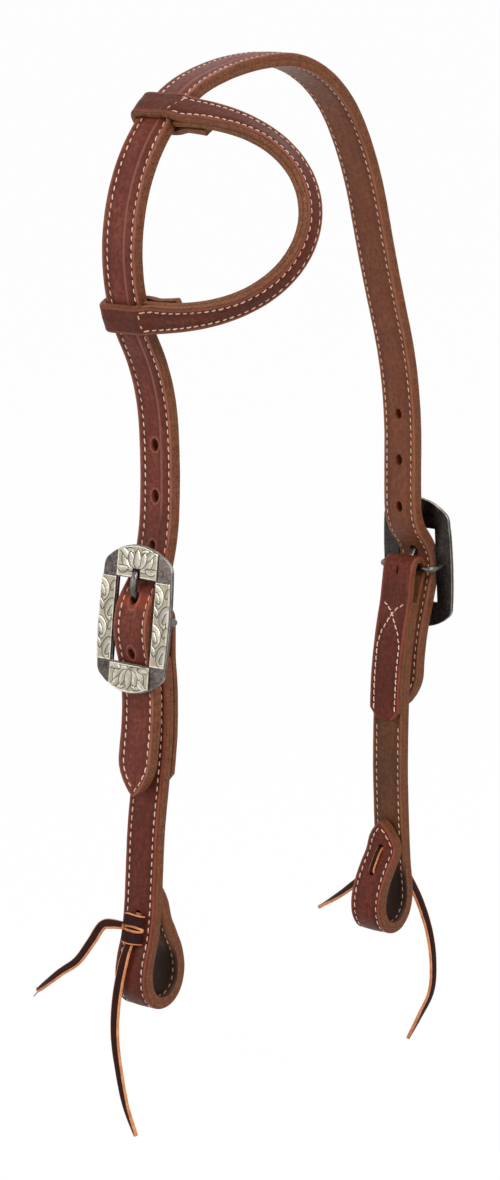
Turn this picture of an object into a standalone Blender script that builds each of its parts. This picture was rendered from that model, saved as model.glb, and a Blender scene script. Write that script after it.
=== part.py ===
"""A western one-ear headstall of doubled harness leather, at rest in the shape it keeps on a stand.

Metres, +Z up. X runs across the width of the straps, and the ear hoop stands out towards +X.
The near side lies at -Y and the far side at +Y. The origin is under the crown strap at the poll.
"""

import math

import bmesh
import bpy
import numpy as np

# Leather
STRAP_WIDTH = 0.0197
CHEEK_WIDTH = 0.0189
PLY = 0.0031
SEAM = 0.0002
CUT_EDGE = 0.0006
PITCH = PLY + SEAM
HALF_STACK = PLY + SEAM / 2

# Crown: from its highest point the strap is walked down each side in (length share, turn) moves
CROWN_TOP_SIDE = 0.0049
CROWN_TOP_RISE = 0.0002
NEAR_LENGTH = 0.4106
FAR_LENGTH = 0.3852
NEAR_BILLET_SPAN = 0.2053
FAR_BILLET_SPAN = 0.1926
# The drop to each billet as shares of the length, the billet through its buckle as shares of its span
NEAR_DROP_SHARES = (
    (0.1256, 16.6), (0.0398, 12.5), (0.3059, 92.7), (0.1009, -27.3), (0.0963, -8.0),
)
NEAR_BILLET_SHARES = (
    (0.1220, -16.6), (0.0612, -25.3), (0.0204, 8.1), (0.0862, 44.4), (0.0430, 10.2), (0.0998, -15.6),
    (0.1068, -11.1), (0.1238, 7.7),
)
FAR_DROP_SHARES = (
    (0.1913, -57.7), (0.1166, -15.8), (0.1584, 3.7), (0.1711, -20.2),
)
FAR_BILLET_SHARES = (
    (0.1444, 2.0), (0.0930, 41.6), (0.0316, -2.5), (0.1116, -58.0), (0.1120, -1.0), (0.1200, 14.0),
    (0.1126, 2.0),
)
BILLET_POINT = 0.0165
POINT_SHARES = ((0.0, 0.10), (0.12, 0.33), (0.35, 0.62), (0.60, 0.84), (0.82, 0.96), (1.0, 1.0))
HOLE_WIDTH = 0.0040
HOLE_LENGTH = 0.0056
TONGUE_HOLE_WIDTH = 0.0044
TONGUE_HOLE_LENGTH = 0.0068
HOLE_PITCH = 0.0238
HOLE_LIFT = 0.0032
HOLES_ABOVE = 3
HOLES_BELOW = 1
TONGUE_HOLE_DROP = 0.0006

# Cart buckles, in the plate's own frame: x across, y out from the bail's axis, z up the plate
# Each bail, out and up from where its billet starts
NEAR_BAIL_REACH = (-0.0069222967, -0.0489023521)
FAR_BAIL_REACH = (0.0040504246, -0.0611001494)
NEAR_PLATE_TILT = 7.6
FAR_PLATE_TILT = 4.6
PLATE_WIDTH = 0.0420
PLATE_HEIGHT = 0.0684
PLATE_THICKNESS = 0.0019
PLATE_TOP_RADIUS = 0.0270
PLATE_SIDE_RADIUS = 0.2700
PLATE_CORNER = 0.0060
PLATE_STANDOFF = 0.0100
WINDOW_WIDTH = 0.0224
WINDOW_HEIGHT = 0.0388
WINDOW_DROP = 0.0009
OVERLAY_THICKNESS = 0.0009
OVERLAY_INSET = 0.0005
OVERLAY_GAP = 0.0002
NOTCH_WIDTH = 0.0044
NOTCH_DEPTH = 0.0047
BAIL_ROD = 0.0031
BAIL_SPREAD = 0.0310
BAIL_CORNER = 0.0030
BAIL_FOOT_GAP = 0.0002
TONGUE_EYE_WALL = 0.0014
TONGUE_EYE_WIDTH = 0.0038
TONGUE_ROD = 0.0030
TONGUE_REACH = 0.0222
# Out and up the plate as shares of the tongue's reach, and thickness as a share of its rod
TONGUE_SHARES = (
    (0.108, 0.062, 0.90), (0.270, 0.243, 0.95), (0.423, 0.385, 0.97), (0.545, 0.485, 1.00),
    (0.620, 0.600, 1.08), (0.634, 0.740, 1.16), (0.615, 0.860, 1.15), (0.580, 0.950, 0.98),
    (0.558, 0.990, 0.60),
)
PIN_PLAY = 0.0003

# Cheeks, in the cheek's own frame: y out from the bail's axis, z up
FOLD_RADIUS = 0.00465
FOLD_LEAN = 13.0
TAB_LEAN = 7.0
NEAR_CHEEK_DROP = 0.1400
FAR_CHEEK_DROP = 0.1442
CHEEK_SWAY = 0.0049
# Distance down as a share of the drop, and place out as a share of the sway
FRONT_SHARES = (
    (0.179, -0.45), (0.286, -0.84), (0.386, -1.00), (0.514, -0.86), (0.714, -0.44), (0.857, -0.18),
    (1.000, 0.14),
)
CHAPE_TAB = 0.0770
TAB_PLACES = (0.26, 0.38, 0.52, 0.68, 0.84, 1.0)
TAB_CORNER = 0.0050
CLIP_SHARE = 0.8
LINING_START = 0.0170
LOOP_WIDTH = 0.0267
LOOP_HEIGHT = 0.0435
# The bit loop, from the strap's front round to its tab: across and down as shares of its size
LOOP_SHARES = (
    (0.060, 0.26), (0.146, 0.48), (0.172, 0.65), (0.100, 0.83), (-0.100, 0.965), (-0.345, 1.0),
    (-0.590, 0.955), (-0.775, 0.82), (-0.828, 0.62), (-0.735, 0.40), (-0.570, 0.215),
)
LOOP_TAB = 0.0145
TAB_POINT = 0.0150
CHEEK_TURN = 4.75
LOOP_SHIFT = 0.00375
SHIFT_RISE = 0.0500
SHIFT_LENGTH = 0.0650
SLOT_WIDTH = 0.0050
SLOT_BELOW = 0.0048
SLOT_BACK = 0.0025

# Tie lace
LACE_WIDTH = 0.0030
LACE_THICKNESS = 0.0014
LACE_PLAY = 0.0004
LACE_HOLE = 0.0042
TIE_RISE = 0.0005
TIE_SPAN = 0.0105
TIE_REST = 0.0006
KNOT_REST = 0.0009
KNOT_WIDTH = 0.0125
KNOT_LENGTH = 0.0140
KNOT_HEIGHT = 0.0046
KNOT_WRAP_SHARE = 0.46
KNOT_TURN_SHARE = 0.34
KNOT_TURN_RISE = 1.08
KNOT_RIM_SHARE = 0.12
KNOT_ROWS = 14
TAIL_WIDTH = 0.0048
TAIL_THICKNESS = 0.0020
NEAR_SHORT_TAIL = (
    (-0.0067, -0.0984, -0.3908), (-0.0109, -0.0982, -0.3913), (-0.0181, -0.0975, -0.3934),
    (-0.0252, -0.0980, -0.4031), (-0.0332, -0.0990, -0.4138), (-0.0430, -0.0995, -0.4212),
    (-0.0582, -0.0990, -0.4336),
)
NEAR_LONG_TAIL = (
    (-0.0005, -0.0984, -0.3977), (-0.0012, -0.1006, -0.4020), (-0.0030, -0.1028, -0.4129),
    (-0.0054, -0.1036, -0.4283), (-0.0062, -0.1036, -0.4442), (-0.0046, -0.1028, -0.4608),
    (-0.0013, -0.1018, -0.4782), (0.0038, -0.1008, -0.4917),
)
FAR_SHORT_TAIL = (
    (-0.0078, 0.1172, -0.4050), (-0.0125, 0.1188, -0.4108), (-0.0200, 0.1218, -0.4195),
    (-0.0334, 0.1222, -0.4307), (-0.0410, 0.1225, -0.4369), (-0.0486, 0.1230, -0.4424),
    (-0.0561, 0.1225, -0.4476),
)
FAR_LONG_TAIL = (
    (-0.0010, 0.1168, -0.4109), (-0.0002, 0.1208, -0.4160), (0.0012, 0.1262, -0.4245),
    (0.0037, 0.1305, -0.4351), (0.0086, 0.1320, -0.4504), (0.0110, 0.1325, -0.4670),
    (0.0100, 0.1325, -0.4832), (0.0032, 0.1315, -0.4987), (-0.0030, 0.1305, -0.5115),
)

# Ear piece: two slide loops round the crown's near bend, and a hoop that springs from them
EAR_TOP_ANGLE = 129.0
EAR_LOW_ANGLE = 200.6
SLIDE_WIDTH = 0.0138
SLIDE_PLAY = 0.0005
HOOP_WIDTH = 0.0098
HOOP_REACH = 0.0918
HOOP_FULLNESS = 2.4
HOOP_START = 0.0160
HOOP_STATIONS = 49
HOOP_PARTING = 0.0002
BOX_END = 0.0300
LINING_GAP = 0.0012
HOOP_TWISTS = (53.0, 46.0, 28.0, 14.0, 6.0)

# Fineness of the swept straps
FINE_STEP = 0.0005
LONG_STEP = 0.0130
TURN_STEP = 9.0
OVERRUN = 0.0020
ROUND_SIDES = 16


def clear_scene():
    for obj in list(bpy.data.objects):
        bpy.data.objects.remove(obj, do_unlink=True)


def material(name, colour, roughness, metallic=0.0):
    made = bpy.data.materials.new(name)
    made.use_nodes = True
    shader = made.node_tree.nodes["Principled BSDF"]
    shader.inputs["Base Color"].default_value = (*colour, 1.0)
    shader.inputs["Roughness"].default_value = roughness
    shader.inputs["Metallic"].default_value = metallic
    return made


GRAIN = (0.165, 0.050, 0.028), 0.55, 0.0
LINING = (0.210, 0.095, 0.050), 0.80, 0.0
DARK_STEEL = (0.055, 0.055, 0.060), 0.38, 1.0
BRIGHT_METAL = (0.660, 0.630, 0.560), 0.32, 1.0
LACE = (0.045, 0.012, 0.012), 0.50, 0.0


def new_object(name, build, finish, parent=None):
    mesh = bpy.data.meshes.new(name)
    build.to_mesh(mesh)
    build.free()
    mesh.materials.append(material(name, *finish))
    obj = bpy.data.objects.new(name, mesh)
    bpy.context.scene.collection.objects.link(obj)
    obj.parent = parent
    return obj


def pivot(name, place, turns=(0.0, 0.0, 0.0), parent=None):
    """An empty on a joint's axis or at a piece's own frame; turns are in degrees."""
    empty = bpy.data.objects.new(name, None)
    empty.empty_display_size = STRAP_WIDTH
    empty.location = place
    empty.rotation_euler = [math.radians(turn) for turn in turns]
    empty.parent = parent
    bpy.context.scene.collection.objects.link(empty)
    return empty


def unit(vectors):
    return vectors / np.linalg.norm(vectors, axis=-1, keepdims=True)


def walk(start, heading, moves):
    """Points and headings, a fine step apart, along arcs of (length, turn) from start."""
    points = [np.array(start, float)]
    headings = [heading]
    starts = []
    for length, turn in moves:
        starts.append(len(points) - 1)
        count = max(2, round(length / FINE_STEP))
        for _ in range(count):
            heading += turn / count / 2
            angle = math.radians(heading)
            step = length / count
            points.append(points[-1] + step * np.array([math.cos(angle), math.sin(angle)]))
            heading += turn / count / 2
            headings.append(heading)
    return np.array(points), np.array(headings), starts


class Path:
    """A curve in space, finely divided, that can be read at any distance along it."""

    def __init__(self, points):
        self.points = np.array(points, float)
        steps = np.linalg.norm(np.diff(self.points, axis=0), axis=1)
        self.along = np.concatenate([[0.0], np.cumsum(steps)])
        self.length = self.along[-1]
        self.tangents = unit(np.gradient(self.points, axis=0))

    def at(self, distance):
        return np.stack([np.interp(distance, self.along, column) for column in self.points.T], -1)

    def tangent(self, distance):
        found = np.stack([np.interp(distance, self.along, column) for column in self.tangents.T], -1)
        return unit(found)

    def nearest(self, point):
        gaps = np.linalg.norm(self.points - np.array(point), axis=1)
        return self.along[int(gaps.argmin())]

    def shifted(self, across, distance):
        """The same curve moved sideways by distance, square to it and to the direction across."""
        sideways = unit(np.cross(across, self.tangents))
        return Path(self.points + distance * sideways)

    def stations(self, start, end, extra=()):
        """Distances from start to end, close together where the curve bends, with the extra ones."""
        places = [start]
        last = self.tangent(start)
        for distance in np.arange(start, end, FINE_STEP):
            heading = self.tangent(distance)
            turned = math.degrees(math.acos(min(1.0, float(last @ heading))))
            if turned >= TURN_STEP or distance - places[-1] >= LONG_STEP:
                places.append(distance)
                last = heading
        places = [place for place in places if end - place > 2 * FINE_STEP] + [end]
        close = [place for place in places if all(abs(place - other) > 2 * FINE_STEP for other in extra)]
        return np.array(sorted(set(close + list(extra) + [start, end])))


def smooth(points, across=None):
    """A smooth curve through a few points, finely divided."""
    points = np.array(points, float)
    knots = np.concatenate([[0.0], np.cumsum(np.sqrt(np.linalg.norm(np.diff(points, axis=0), axis=1)))])
    slopes = np.gradient(points, knots, axis=0)
    found = []
    for i in range(len(points) - 1):
        gap = knots[i + 1] - knots[i]
        count = max(2, int(np.linalg.norm(points[i + 1] - points[i]) / FINE_STEP))
        t = (np.arange(count) / count)[:, None]
        found.append(
            (2 * t**3 - 3 * t**2 + 1) * points[i]
            + (t**3 - 2 * t**2 + t) * gap * slopes[i]
            + (3 * t**2 - 2 * t**3) * points[i + 1]
            + (t**3 - t**2) * gap * slopes[i + 1]
        )
    return np.concatenate(found + [points[-1:]])


def flat_section(half_width, half_thickness):
    edge = min(CUT_EDGE, 0.4 * half_width, 0.6 * half_thickness)
    corners = []
    for side, face in ((1, 1), (-1, 1), (-1, -1), (1, -1)):
        flat = (side * (half_width - edge), face * half_thickness)
        upright = (side * half_width, face * (half_thickness - edge))
        corners += [upright, flat] if side == face else [flat, upright]
    return corners


def sweep(places, sides, normals, half_widths, half_thickness):
    """A closed strip along the places, with each one's way across it and way out of its face."""
    build = bmesh.new()
    rings = []
    for place, side, normal, half_width in zip(places, sides, normals, half_widths):
        section = flat_section(half_width, half_thickness)
        rings.append([build.verts.new(place + w * side + t * normal) for w, t in section])
    bridge(build, rings)
    return build


def bridge(build, rings):
    for first, second in zip(rings, rings[1:]):
        for i in range(len(first)):
            j = (i + 1) % len(first)
            build.faces.new((first[i], first[j], second[j], second[i]))
    build.faces.new(rings[0])
    build.faces.new(rings[-1])
    bmesh.ops.recalc_face_normals(build, faces=build.faces)


def rod(places, radii, sides=ROUND_SIDES // 2):
    """A closed round bar along the places, with a radius at each."""
    build = bmesh.new()
    path = Path(places)
    side = np.array([1.0, 0.0, 0.0])
    rings = []
    for place, along, radius in zip(path.points, path.tangents, radii):
        side = unit(side - (side @ along) * along)
        other = np.cross(along, side)
        angles = [2 * math.pi * k / sides for k in range(sides)]
        ring = [build.verts.new(place + radius * (math.cos(a) * side + math.sin(a) * other)) for a in angles]
        rings.append(ring)
    bridge(build, rings)
    return build


def prism(build, outline, low, high):
    """Adds a closed prism of the outline, points of (x, z), from y = low to y = high."""
    rings = [[build.verts.new((x, y, z)) for x, z in outline] for y in (low, high)]
    faces = [build.faces.new(rings[0]), build.faces.new(rings[1])]
    for i in range(len(outline)):
        j = (i + 1) % len(outline)
        faces.append(build.faces.new((rings[0][i], rings[0][j], rings[1][j], rings[1][i])))
    bmesh.ops.recalc_face_normals(build, faces=faces)


def oval(build, middle, along, across, normal, length, width, reach):
    """Adds a closed oval bar that runs reach to each side of the middle along the normal."""
    rings = []
    for side in (-reach, reach):
        ring = []
        for k in range(ROUND_SIDES):
            angle = 2 * math.pi * k / ROUND_SIDES
            place = middle + side * normal
            place = place + length / 2 * math.cos(angle) * along + width / 2 * math.sin(angle) * across
            ring.append(build.verts.new(place))
        rings.append(ring)
    faces = [build.faces.new(rings[0]), build.faces.new(rings[1])]
    for i in range(ROUND_SIDES):
        j = (i + 1) % ROUND_SIDES
        faces.append(build.faces.new((rings[0][i], rings[0][j], rings[1][j], rings[1][i])))
    bmesh.ops.recalc_face_normals(build, faces=faces)


def cut(obj, cutter, operation="DIFFERENCE"):
    cutter.hide_render = True
    cutter.display_type = "WIRE"
    change = obj.modifiers.new(cutter.name, "BOOLEAN")
    change.operation = operation
    change.object = cutter
    change.solver = "EXACT"


def helper(name, build, parent=None):
    mesh = bpy.data.meshes.new(name)
    build.to_mesh(mesh)
    build.free()
    obj = bpy.data.objects.new(name, mesh)
    bpy.context.scene.collection.objects.link(obj)
    obj.parent = parent
    obj.hide_render = True
    obj.display_type = "WIRE"
    return obj


ACROSS = np.array([1.0, 0.0, 0.0])


def point_widths(distances, tips, full):
    """Half widths along a strap that comes to a point at each of its (place, length) tips."""
    widths = np.full(len(distances), full)
    shares, sizes = zip(*POINT_SHARES)
    for place, length in tips:
        gaps = np.abs(distances - place) / length
        widths = np.minimum(widths, full * np.interp(gaps, shares, sizes))
    return widths


def point_places(place, length, inward):
    return [place + inward * length * share for share, _ in POINT_SHARES]


def strap_ply(name, path, side, finish, start, end, tips, parent=None, extra=(), half_width=STRAP_WIDTH / 2):
    """One ply of a strap whose middle line is the path, moved by side from that line."""
    marks = list(extra)
    for place, length in tips:
        marks += point_places(place, length, 1 if place == start else -1)
    distances = path.stations(start, end, marks)
    normals = unit(np.cross(ACROSS, path.tangent(distances)))
    sides = np.tile(ACROSS, (len(distances), 1))
    widths = point_widths(distances, tips, half_width)
    build = sweep(path.at(distances) + side * normals, sides, normals, widths, PLY / 2)
    return new_object(name, build, finish, parent)


class Side:
    """The near or the far half: which way is outward, where its bail lies, and how its pieces hang."""

    def __init__(self, name, outward, bail, tilt, drop, tails):
        self.name = name
        self.outward = outward
        self.bail = bail
        self.tilt = tilt
        self.turned = 90.0 * (1 - outward)
        self.lean = -outward * CHEEK_TURN
        self.drop = drop
        self.shift = outward * LOOP_SHIFT
        self.tails = tails


def near_moves():
    """Arcs of (length, turn) down the near side: the drop, then the billet."""
    drop = [(share * NEAR_LENGTH, turn) for share, turn in NEAR_DROP_SHARES]
    return drop + [(share * NEAR_BILLET_SPAN, turn) for share, turn in NEAR_BILLET_SHARES]


def far_moves():
    """The same down the far side."""
    drop = [(share * FAR_LENGTH, turn) for share, turn in FAR_DROP_SHARES]
    return drop + [(share * FAR_BILLET_SPAN, turn) for share, turn in FAR_BILLET_SHARES]


def crown_walks():
    """Points down both sides of the crown, and where each move starts among them."""
    top = (CROWN_TOP_SIDE, HALF_STACK + CROWN_TOP_RISE)
    near, _, near_starts = walk(top, 180.0, near_moves())
    far, _, far_starts = walk(top, 0.0, far_moves())
    return near, near_starts, far, far_starts


def bail_places():
    """The bails lie at a set reach from where the billets start, so they follow the strap."""
    near, near_starts, far, far_starts = crown_walks()
    near_join = near[near_starts[len(NEAR_DROP_SHARES)]]
    far_join = far[far_starts[len(FAR_DROP_SHARES)]]
    return tuple(near_join + NEAR_BAIL_REACH), tuple(far_join + FAR_BAIL_REACH)


def crown_path():
    """The crown's middle line from the near point over the poll to the far point."""
    near, starts, far, _ = crown_walks()
    flat = np.concatenate([near[::-1], far[1:]])
    return Path(np.column_stack([np.zeros(len(flat)), flat])), near, starts


def ear_circle():
    """Centre and radius of the crown's widest bend, under the ear piece, from the walk that makes it."""
    _, near, starts = crown_path()
    moves = near_moves()
    widest = max(range(len(moves)), key=lambda index: moves[index][1])
    length, turn = moves[widest]
    radius = length / math.radians(turn)
    first = near[starts[widest]]
    heading = math.radians(180.0 + sum(move[1] for move in moves[:widest]))
    return first + radius * np.array([-math.sin(heading), math.cos(heading)]), radius


NEAR_BAIL, FAR_BAIL = bail_places()
SIDES = (
    Side("near", -1, NEAR_BAIL, NEAR_PLATE_TILT, NEAR_CHEEK_DROP, (NEAR_SHORT_TAIL, NEAR_LONG_TAIL)),
    Side("far", 1, FAR_BAIL, FAR_PLATE_TILT, FAR_CHEEK_DROP, (FAR_SHORT_TAIL, FAR_LONG_TAIL)),
)


def tongue_hole(path, side):
    """Where along the crown the tongue of that side's buckle passes through."""
    tilt = math.radians(side.tilt)
    best = None
    for out_share, up_share, _ in TONGUE_SHARES:
        out = TONGUE_REACH * (out_share * math.cos(tilt) - up_share * math.sin(tilt))
        up = TONGUE_REACH * (out_share * math.sin(tilt) + up_share * math.cos(tilt))
        place = np.array([0.0, side.bail[0] + side.outward * out, side.bail[1] + up])
        gap = np.linalg.norm(path.points - place, axis=1).min()
        if best is None or gap < best[0]:
            best = gap, path.nearest(place)
    return best[1]


def billet_holes(path):
    """Cutter for the holes of both billets; the holes the tongues pass through are longer."""
    build = bmesh.new()
    for side in SIDES:
        tongue = tongue_hole(path, side) + side.outward * TONGUE_HOLE_DROP
        for k in range(-HOLES_BELOW, HOLES_ABOVE + 1):
            lift = HOLE_LIFT if k > 0 else 0.0
            distance = tongue - side.outward * (k * HOLE_PITCH + lift)
            along = path.tangent(distance)
            normal = np.cross(ACROSS, along)
            length = TONGUE_HOLE_LENGTH if k == 0 else HOLE_LENGTH
            width = TONGUE_HOLE_WIDTH if k == 0 else HOLE_WIDTH
            oval(build, path.at(distance), along, ACROSS, normal, length, width, HALF_STACK + OVERRUN)
    return helper("billet_hole_cutter", build)


def make_crown():
    path, _, _ = crown_path()
    tips = ((0.0, BILLET_POINT), (path.length, BILLET_POINT))
    cutter = billet_holes(path)
    for name, side, finish in (("crown_outer_ply", 1, GRAIN), ("crown_lining_ply", -1, LINING)):
        ply = strap_ply(name, path, side * PITCH / 2, finish, 0.0, path.length, tips)
        cut(ply, cutter)


def arc_points(centre, radius, start, end, count):
    angles = [math.radians(start + (end - start) * k / count) for k in range(count + 1)]
    return [(centre[0] + radius * math.cos(a), centre[1] + radius * math.sin(a)) for a in angles]


def plate_outline(inset=0.0):
    """The plate's outline: a shallow arc above and below, long arcs at the sides, round corners."""
    half_height = PLATE_HEIGHT / 2 - inset
    half_width = PLATE_WIDTH / 2 - inset
    top_radius = PLATE_TOP_RADIUS - inset
    side_radius = PLATE_SIDE_RADIUS - inset
    corner = PLATE_CORNER - inset
    top_centre = (0.0, half_height - top_radius)
    side_centre = (half_width - side_radius, 0.0)
    # The corner's centre lies one corner radius inside both arcs
    reach_top = top_radius - corner
    reach_side = side_radius - corner
    gap = math.hypot(top_centre[0] - side_centre[0], top_centre[1] - side_centre[1])
    along = (reach_side**2 - reach_top**2 + gap**2) / (2 * gap)
    off = math.sqrt(reach_side**2 - along**2)
    ux = (top_centre[0] - side_centre[0]) / gap
    uz = (top_centre[1] - side_centre[1]) / gap
    centre = (side_centre[0] + along * ux - off * uz, side_centre[1] + along * uz + off * ux)
    if centre[0] < 0:
        centre = (side_centre[0] + along * ux + off * uz, side_centre[1] + along * uz - off * ux)
    top_angle = math.degrees(math.atan2(centre[1] - top_centre[1], centre[0] - top_centre[0]))
    side_angle = math.degrees(math.atan2(centre[1] - side_centre[1], centre[0] - side_centre[0]))
    quarter = arc_points(side_centre, side_radius, 0.0, side_angle, 3)
    quarter += arc_points(centre, corner, side_angle, top_angle, 5)[1:]
    quarter += arc_points(top_centre, top_radius, top_angle, 90.0, 5)[1:]
    right = quarter + [(-x, z) for x, z in quarter[-2::-1]]
    return right + [(x, -z) for x, z in right[-2:0:-1]]


def window_bounds():
    half = WINDOW_WIDTH / 2
    return -half, half, -WINDOW_DROP - WINDOW_HEIGHT / 2, -WINDOW_DROP + WINDOW_HEIGHT / 2


def box(build, low, high):
    (x0, y0, z0), (x1, y1, z1) = low, high
    prism(build, [(x0, z0), (x1, z0), (x1, z1), (x0, z1)], y0, y1)


def notch_bounds():
    _, _, _, top = window_bounds()
    return -NOTCH_WIDTH / 2, NOTCH_WIDTH / 2, top - OVERRUN, top + NOTCH_DEPTH


def make_plate(side, parent):
    """The blued plate with its window and the notch that the tongue's tip rests in."""
    build = bmesh.new()
    prism(build, plate_outline(), PLATE_STANDOFF, PLATE_STANDOFF + PLATE_THICKNESS)
    plate = new_object(side.name + "_buckle_frame", build, DARK_STEEL, parent)
    low = PLATE_STANDOFF - OVERRUN
    high = PLATE_STANDOFF + PLATE_THICKNESS + OVERLAY_GAP + OVERLAY_THICKNESS + OVERRUN
    for name, (x0, x1, z0, z1) in (("window", window_bounds()), ("notch", notch_bounds())):
        opening = bmesh.new()
        box(opening, (x0, low, z0), (x1, high, z1))
        cut(plate, helper(f"{side.name}_{name}_cutter", opening, parent))


def overlay_regions(side):
    """Name and bounds of each bright overlay: above, below, and down the two sides of the window."""
    left, right, low, high = window_bounds()
    edge = OVERLAY_INSET
    wide = PLATE_WIDTH
    tall = PLATE_HEIGHT
    # The near plate is turned half round, so that its front edge lies at the lower x
    lower, upper = ("front", "rear") if side.outward < 0 else ("rear", "front")
    return (
        ("top", left - edge, right + edge, high + edge, tall),
        ("bottom", left - edge, right + edge, -tall, low - edge),
        (upper, right + edge, wide, low, high),
        (lower, -wide, left - edge, low, high),
    )


def clip(points, x0, x1, z0, z1):
    """The part of a convex outline that lies inside the bounds."""
    for axis, limit, sign in ((0, x0, 1), (0, x1, -1), (1, z0, 1), (1, z1, -1)):
        kept = []
        for first, second in zip(points, points[1:] + points[:1]):
            a = sign * (first[axis] - limit)
            b = sign * (second[axis] - limit)
            if a >= 0:
                kept.append(first)
            if a * b < 0:
                share = a / (a - b)
                kept.append(tuple(p + share * (q - p) for p, q in zip(first, second)))
        points = kept
    return points


def make_overlays(side, parent):
    low = PLATE_STANDOFF + PLATE_THICKNESS + OVERLAY_GAP
    high = low + OVERLAY_THICKNESS
    notch_cutter = bpy.data.objects[side.name + "_notch_cutter"]
    for name, x0, x1, z0, z1 in overlay_regions(side):
        build = bmesh.new()
        prism(build, clip(plate_outline(OVERLAY_INSET), x0, x1, z0, z1), low, high)
        overlay = new_object(f"{side.name}_{name}_overlay", build, BRIGHT_METAL, parent)
        if name == "top":
            cut(overlay, notch_cutter)


def make_bail(side, parent):
    """The rod behind the plate that the cheek folds over and the tongue turns on."""
    half = BAIL_SPREAD / 2
    foot = PLATE_STANDOFF - BAIL_FOOT_GAP
    bend = BAIL_CORNER
    places = [(-half, foot, 0.0)]
    corner = arc_points((-half + bend, bend), bend, 180.0, 270.0, 4)
    places += [(x, y, 0.0) for x, y in corner]
    places += [(-x, y, 0.0) for x, y in corner[::-1]]
    places.append((half, foot, 0.0))
    build = rod(places, [BAIL_ROD / 2] * len(places), ROUND_SIDES - 4)
    smooth_shade(new_object(side.name + "_buckle_bail", build, DARK_STEEL, parent))


def ring(inner, outer, half_width):
    """A ring round the x axis, turned from a rectangle."""
    build = bmesh.new()
    corners = ((-half_width, inner), (half_width, inner), (half_width, outer), (-half_width, outer))
    rings = []
    for k in range(ROUND_SIDES):
        angle = 2 * math.pi * k / ROUND_SIDES
        rings.append([build.verts.new((x, r * math.cos(angle), r * math.sin(angle))) for x, r in corners])
    for k in range(ROUND_SIDES):
        first, second = rings[k], rings[(k + 1) % ROUND_SIDES]
        for i in range(4):
            j = (i + 1) % 4
            build.faces.new((first[i], first[j], second[j], second[i]))
    bmesh.ops.recalc_face_normals(build, faces=build.faces)
    return build


def make_tongue(side, parent):
    """The tongue: an eye round the bail, and a curved bar out through the billet to the notch."""
    inner = BAIL_ROD / 2 + PIN_PLAY
    outer = inner + TONGUE_EYE_WALL
    eye = new_object(side.name + "_buckle_tongue", ring(inner, outer, TONGUE_EYE_WIDTH / 2), DARK_STEEL, parent)
    path = Path(smooth([(0.0, a * TONGUE_REACH, b * TONGUE_REACH) for a, b, _ in TONGUE_SHARES]))
    count = 14
    distances = np.linspace(0.0, path.length, count)
    marks = [path.nearest((0.0, a * TONGUE_REACH, b * TONGUE_REACH)) for a, b, _ in TONGUE_SHARES]
    radii = TONGUE_ROD / 2 * np.interp(distances, marks, [share for _, _, share in TONGUE_SHARES])
    bar = helper(side.name + "_tongue_bar", rod(path.at(distances), radii), parent)
    cut(eye, bar, "UNION")
    smooth_shade(eye)


def smooth_shade(obj):
    mesh = obj.data
    for face in mesh.polygons:
        face.use_smooth = True
    mesh.set_sharp_from_angle(angle=math.radians(40.0))


def loop_shift(down, side):
    """How far out the strap lies, at a distance down, from where a straight lie would put it."""
    share = min(1.0, max(0.0, (down - side.drop + SHIFT_RISE) / SHIFT_LENGTH))
    return side.shift * share * share * (3 - 2 * share)


def cheek_front(side):
    """Middle of the cheek's outer ply down its front, from the fold to the bit loop."""
    centre = BAIL_ROD / 2 + PIN_PLAY + PLY / 2 - FOLD_RADIUS
    lean = math.radians(-FOLD_LEAN)
    first = (centre + FOLD_RADIUS * math.cos(lean), FOLD_RADIUS * math.sin(lean))
    points = [first]
    halfway = FRONT_SHARES[0][0] * side.drop / 2
    points.append((first[0] - (halfway + first[1]) * math.tan(-lean), -halfway))
    for down, out in FRONT_SHARES:
        points.append((out * CHEEK_SWAY + loop_shift(down * side.drop, side), -down * side.drop))
    return points


def beside(front, down, distance):
    """A point at that distance behind the front line, square to it, at a distance down."""
    path = Path(smooth(front))
    at = path.along[int(np.abs(path.points[:, 1] + down).argmin())]
    along = path.tangent(at)
    return path.at(at) + distance * np.array([along[1], -along[0]])


def cheek_path(side):
    """Middle of the outer ply: chape tab, fold, front, bit loop, and up its pointed tab."""
    front = cheek_front(side)
    tab = [beside(front, place * CHAPE_TAB, 2 * PITCH) for place in TAB_PLACES]
    centre = BAIL_ROD / 2 + PIN_PLAY + PLY / 2 - FOLD_RADIUS
    fold = arc_points((centre, 0.0), FOLD_RADIUS, 180.0 - TAB_LEAN, -FOLD_LEAN, 6)
    start = front[-1][0] - loop_shift(side.drop, side)
    loop = []
    for across, down in LOOP_SHARES:
        depth = side.drop + down * LOOP_HEIGHT
        loop.append((start + across * LOOP_WIDTH + loop_shift(depth, side), -depth))
    end = [beside(front, side.drop - share * LOOP_TAB, 3 * PITCH + TIE_REST) for share in (0.0, 0.5, 1.0)]
    points = [tuple(p) for p in tab[::-1]] + fold + front[1:] + loop + [tuple(p) for p in end]
    flat = smooth(points)
    return Path(np.column_stack([np.zeros(len(flat)), flat])), front


def chape_widths(distances):
    """Half widths of the outer ply: clipped corners at the chape tab's end."""
    return CHEEK_WIDTH / 2 - CLIP_SHARE * np.clip(TAB_CORNER - distances, 0.0, TAB_CORNER)


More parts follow.
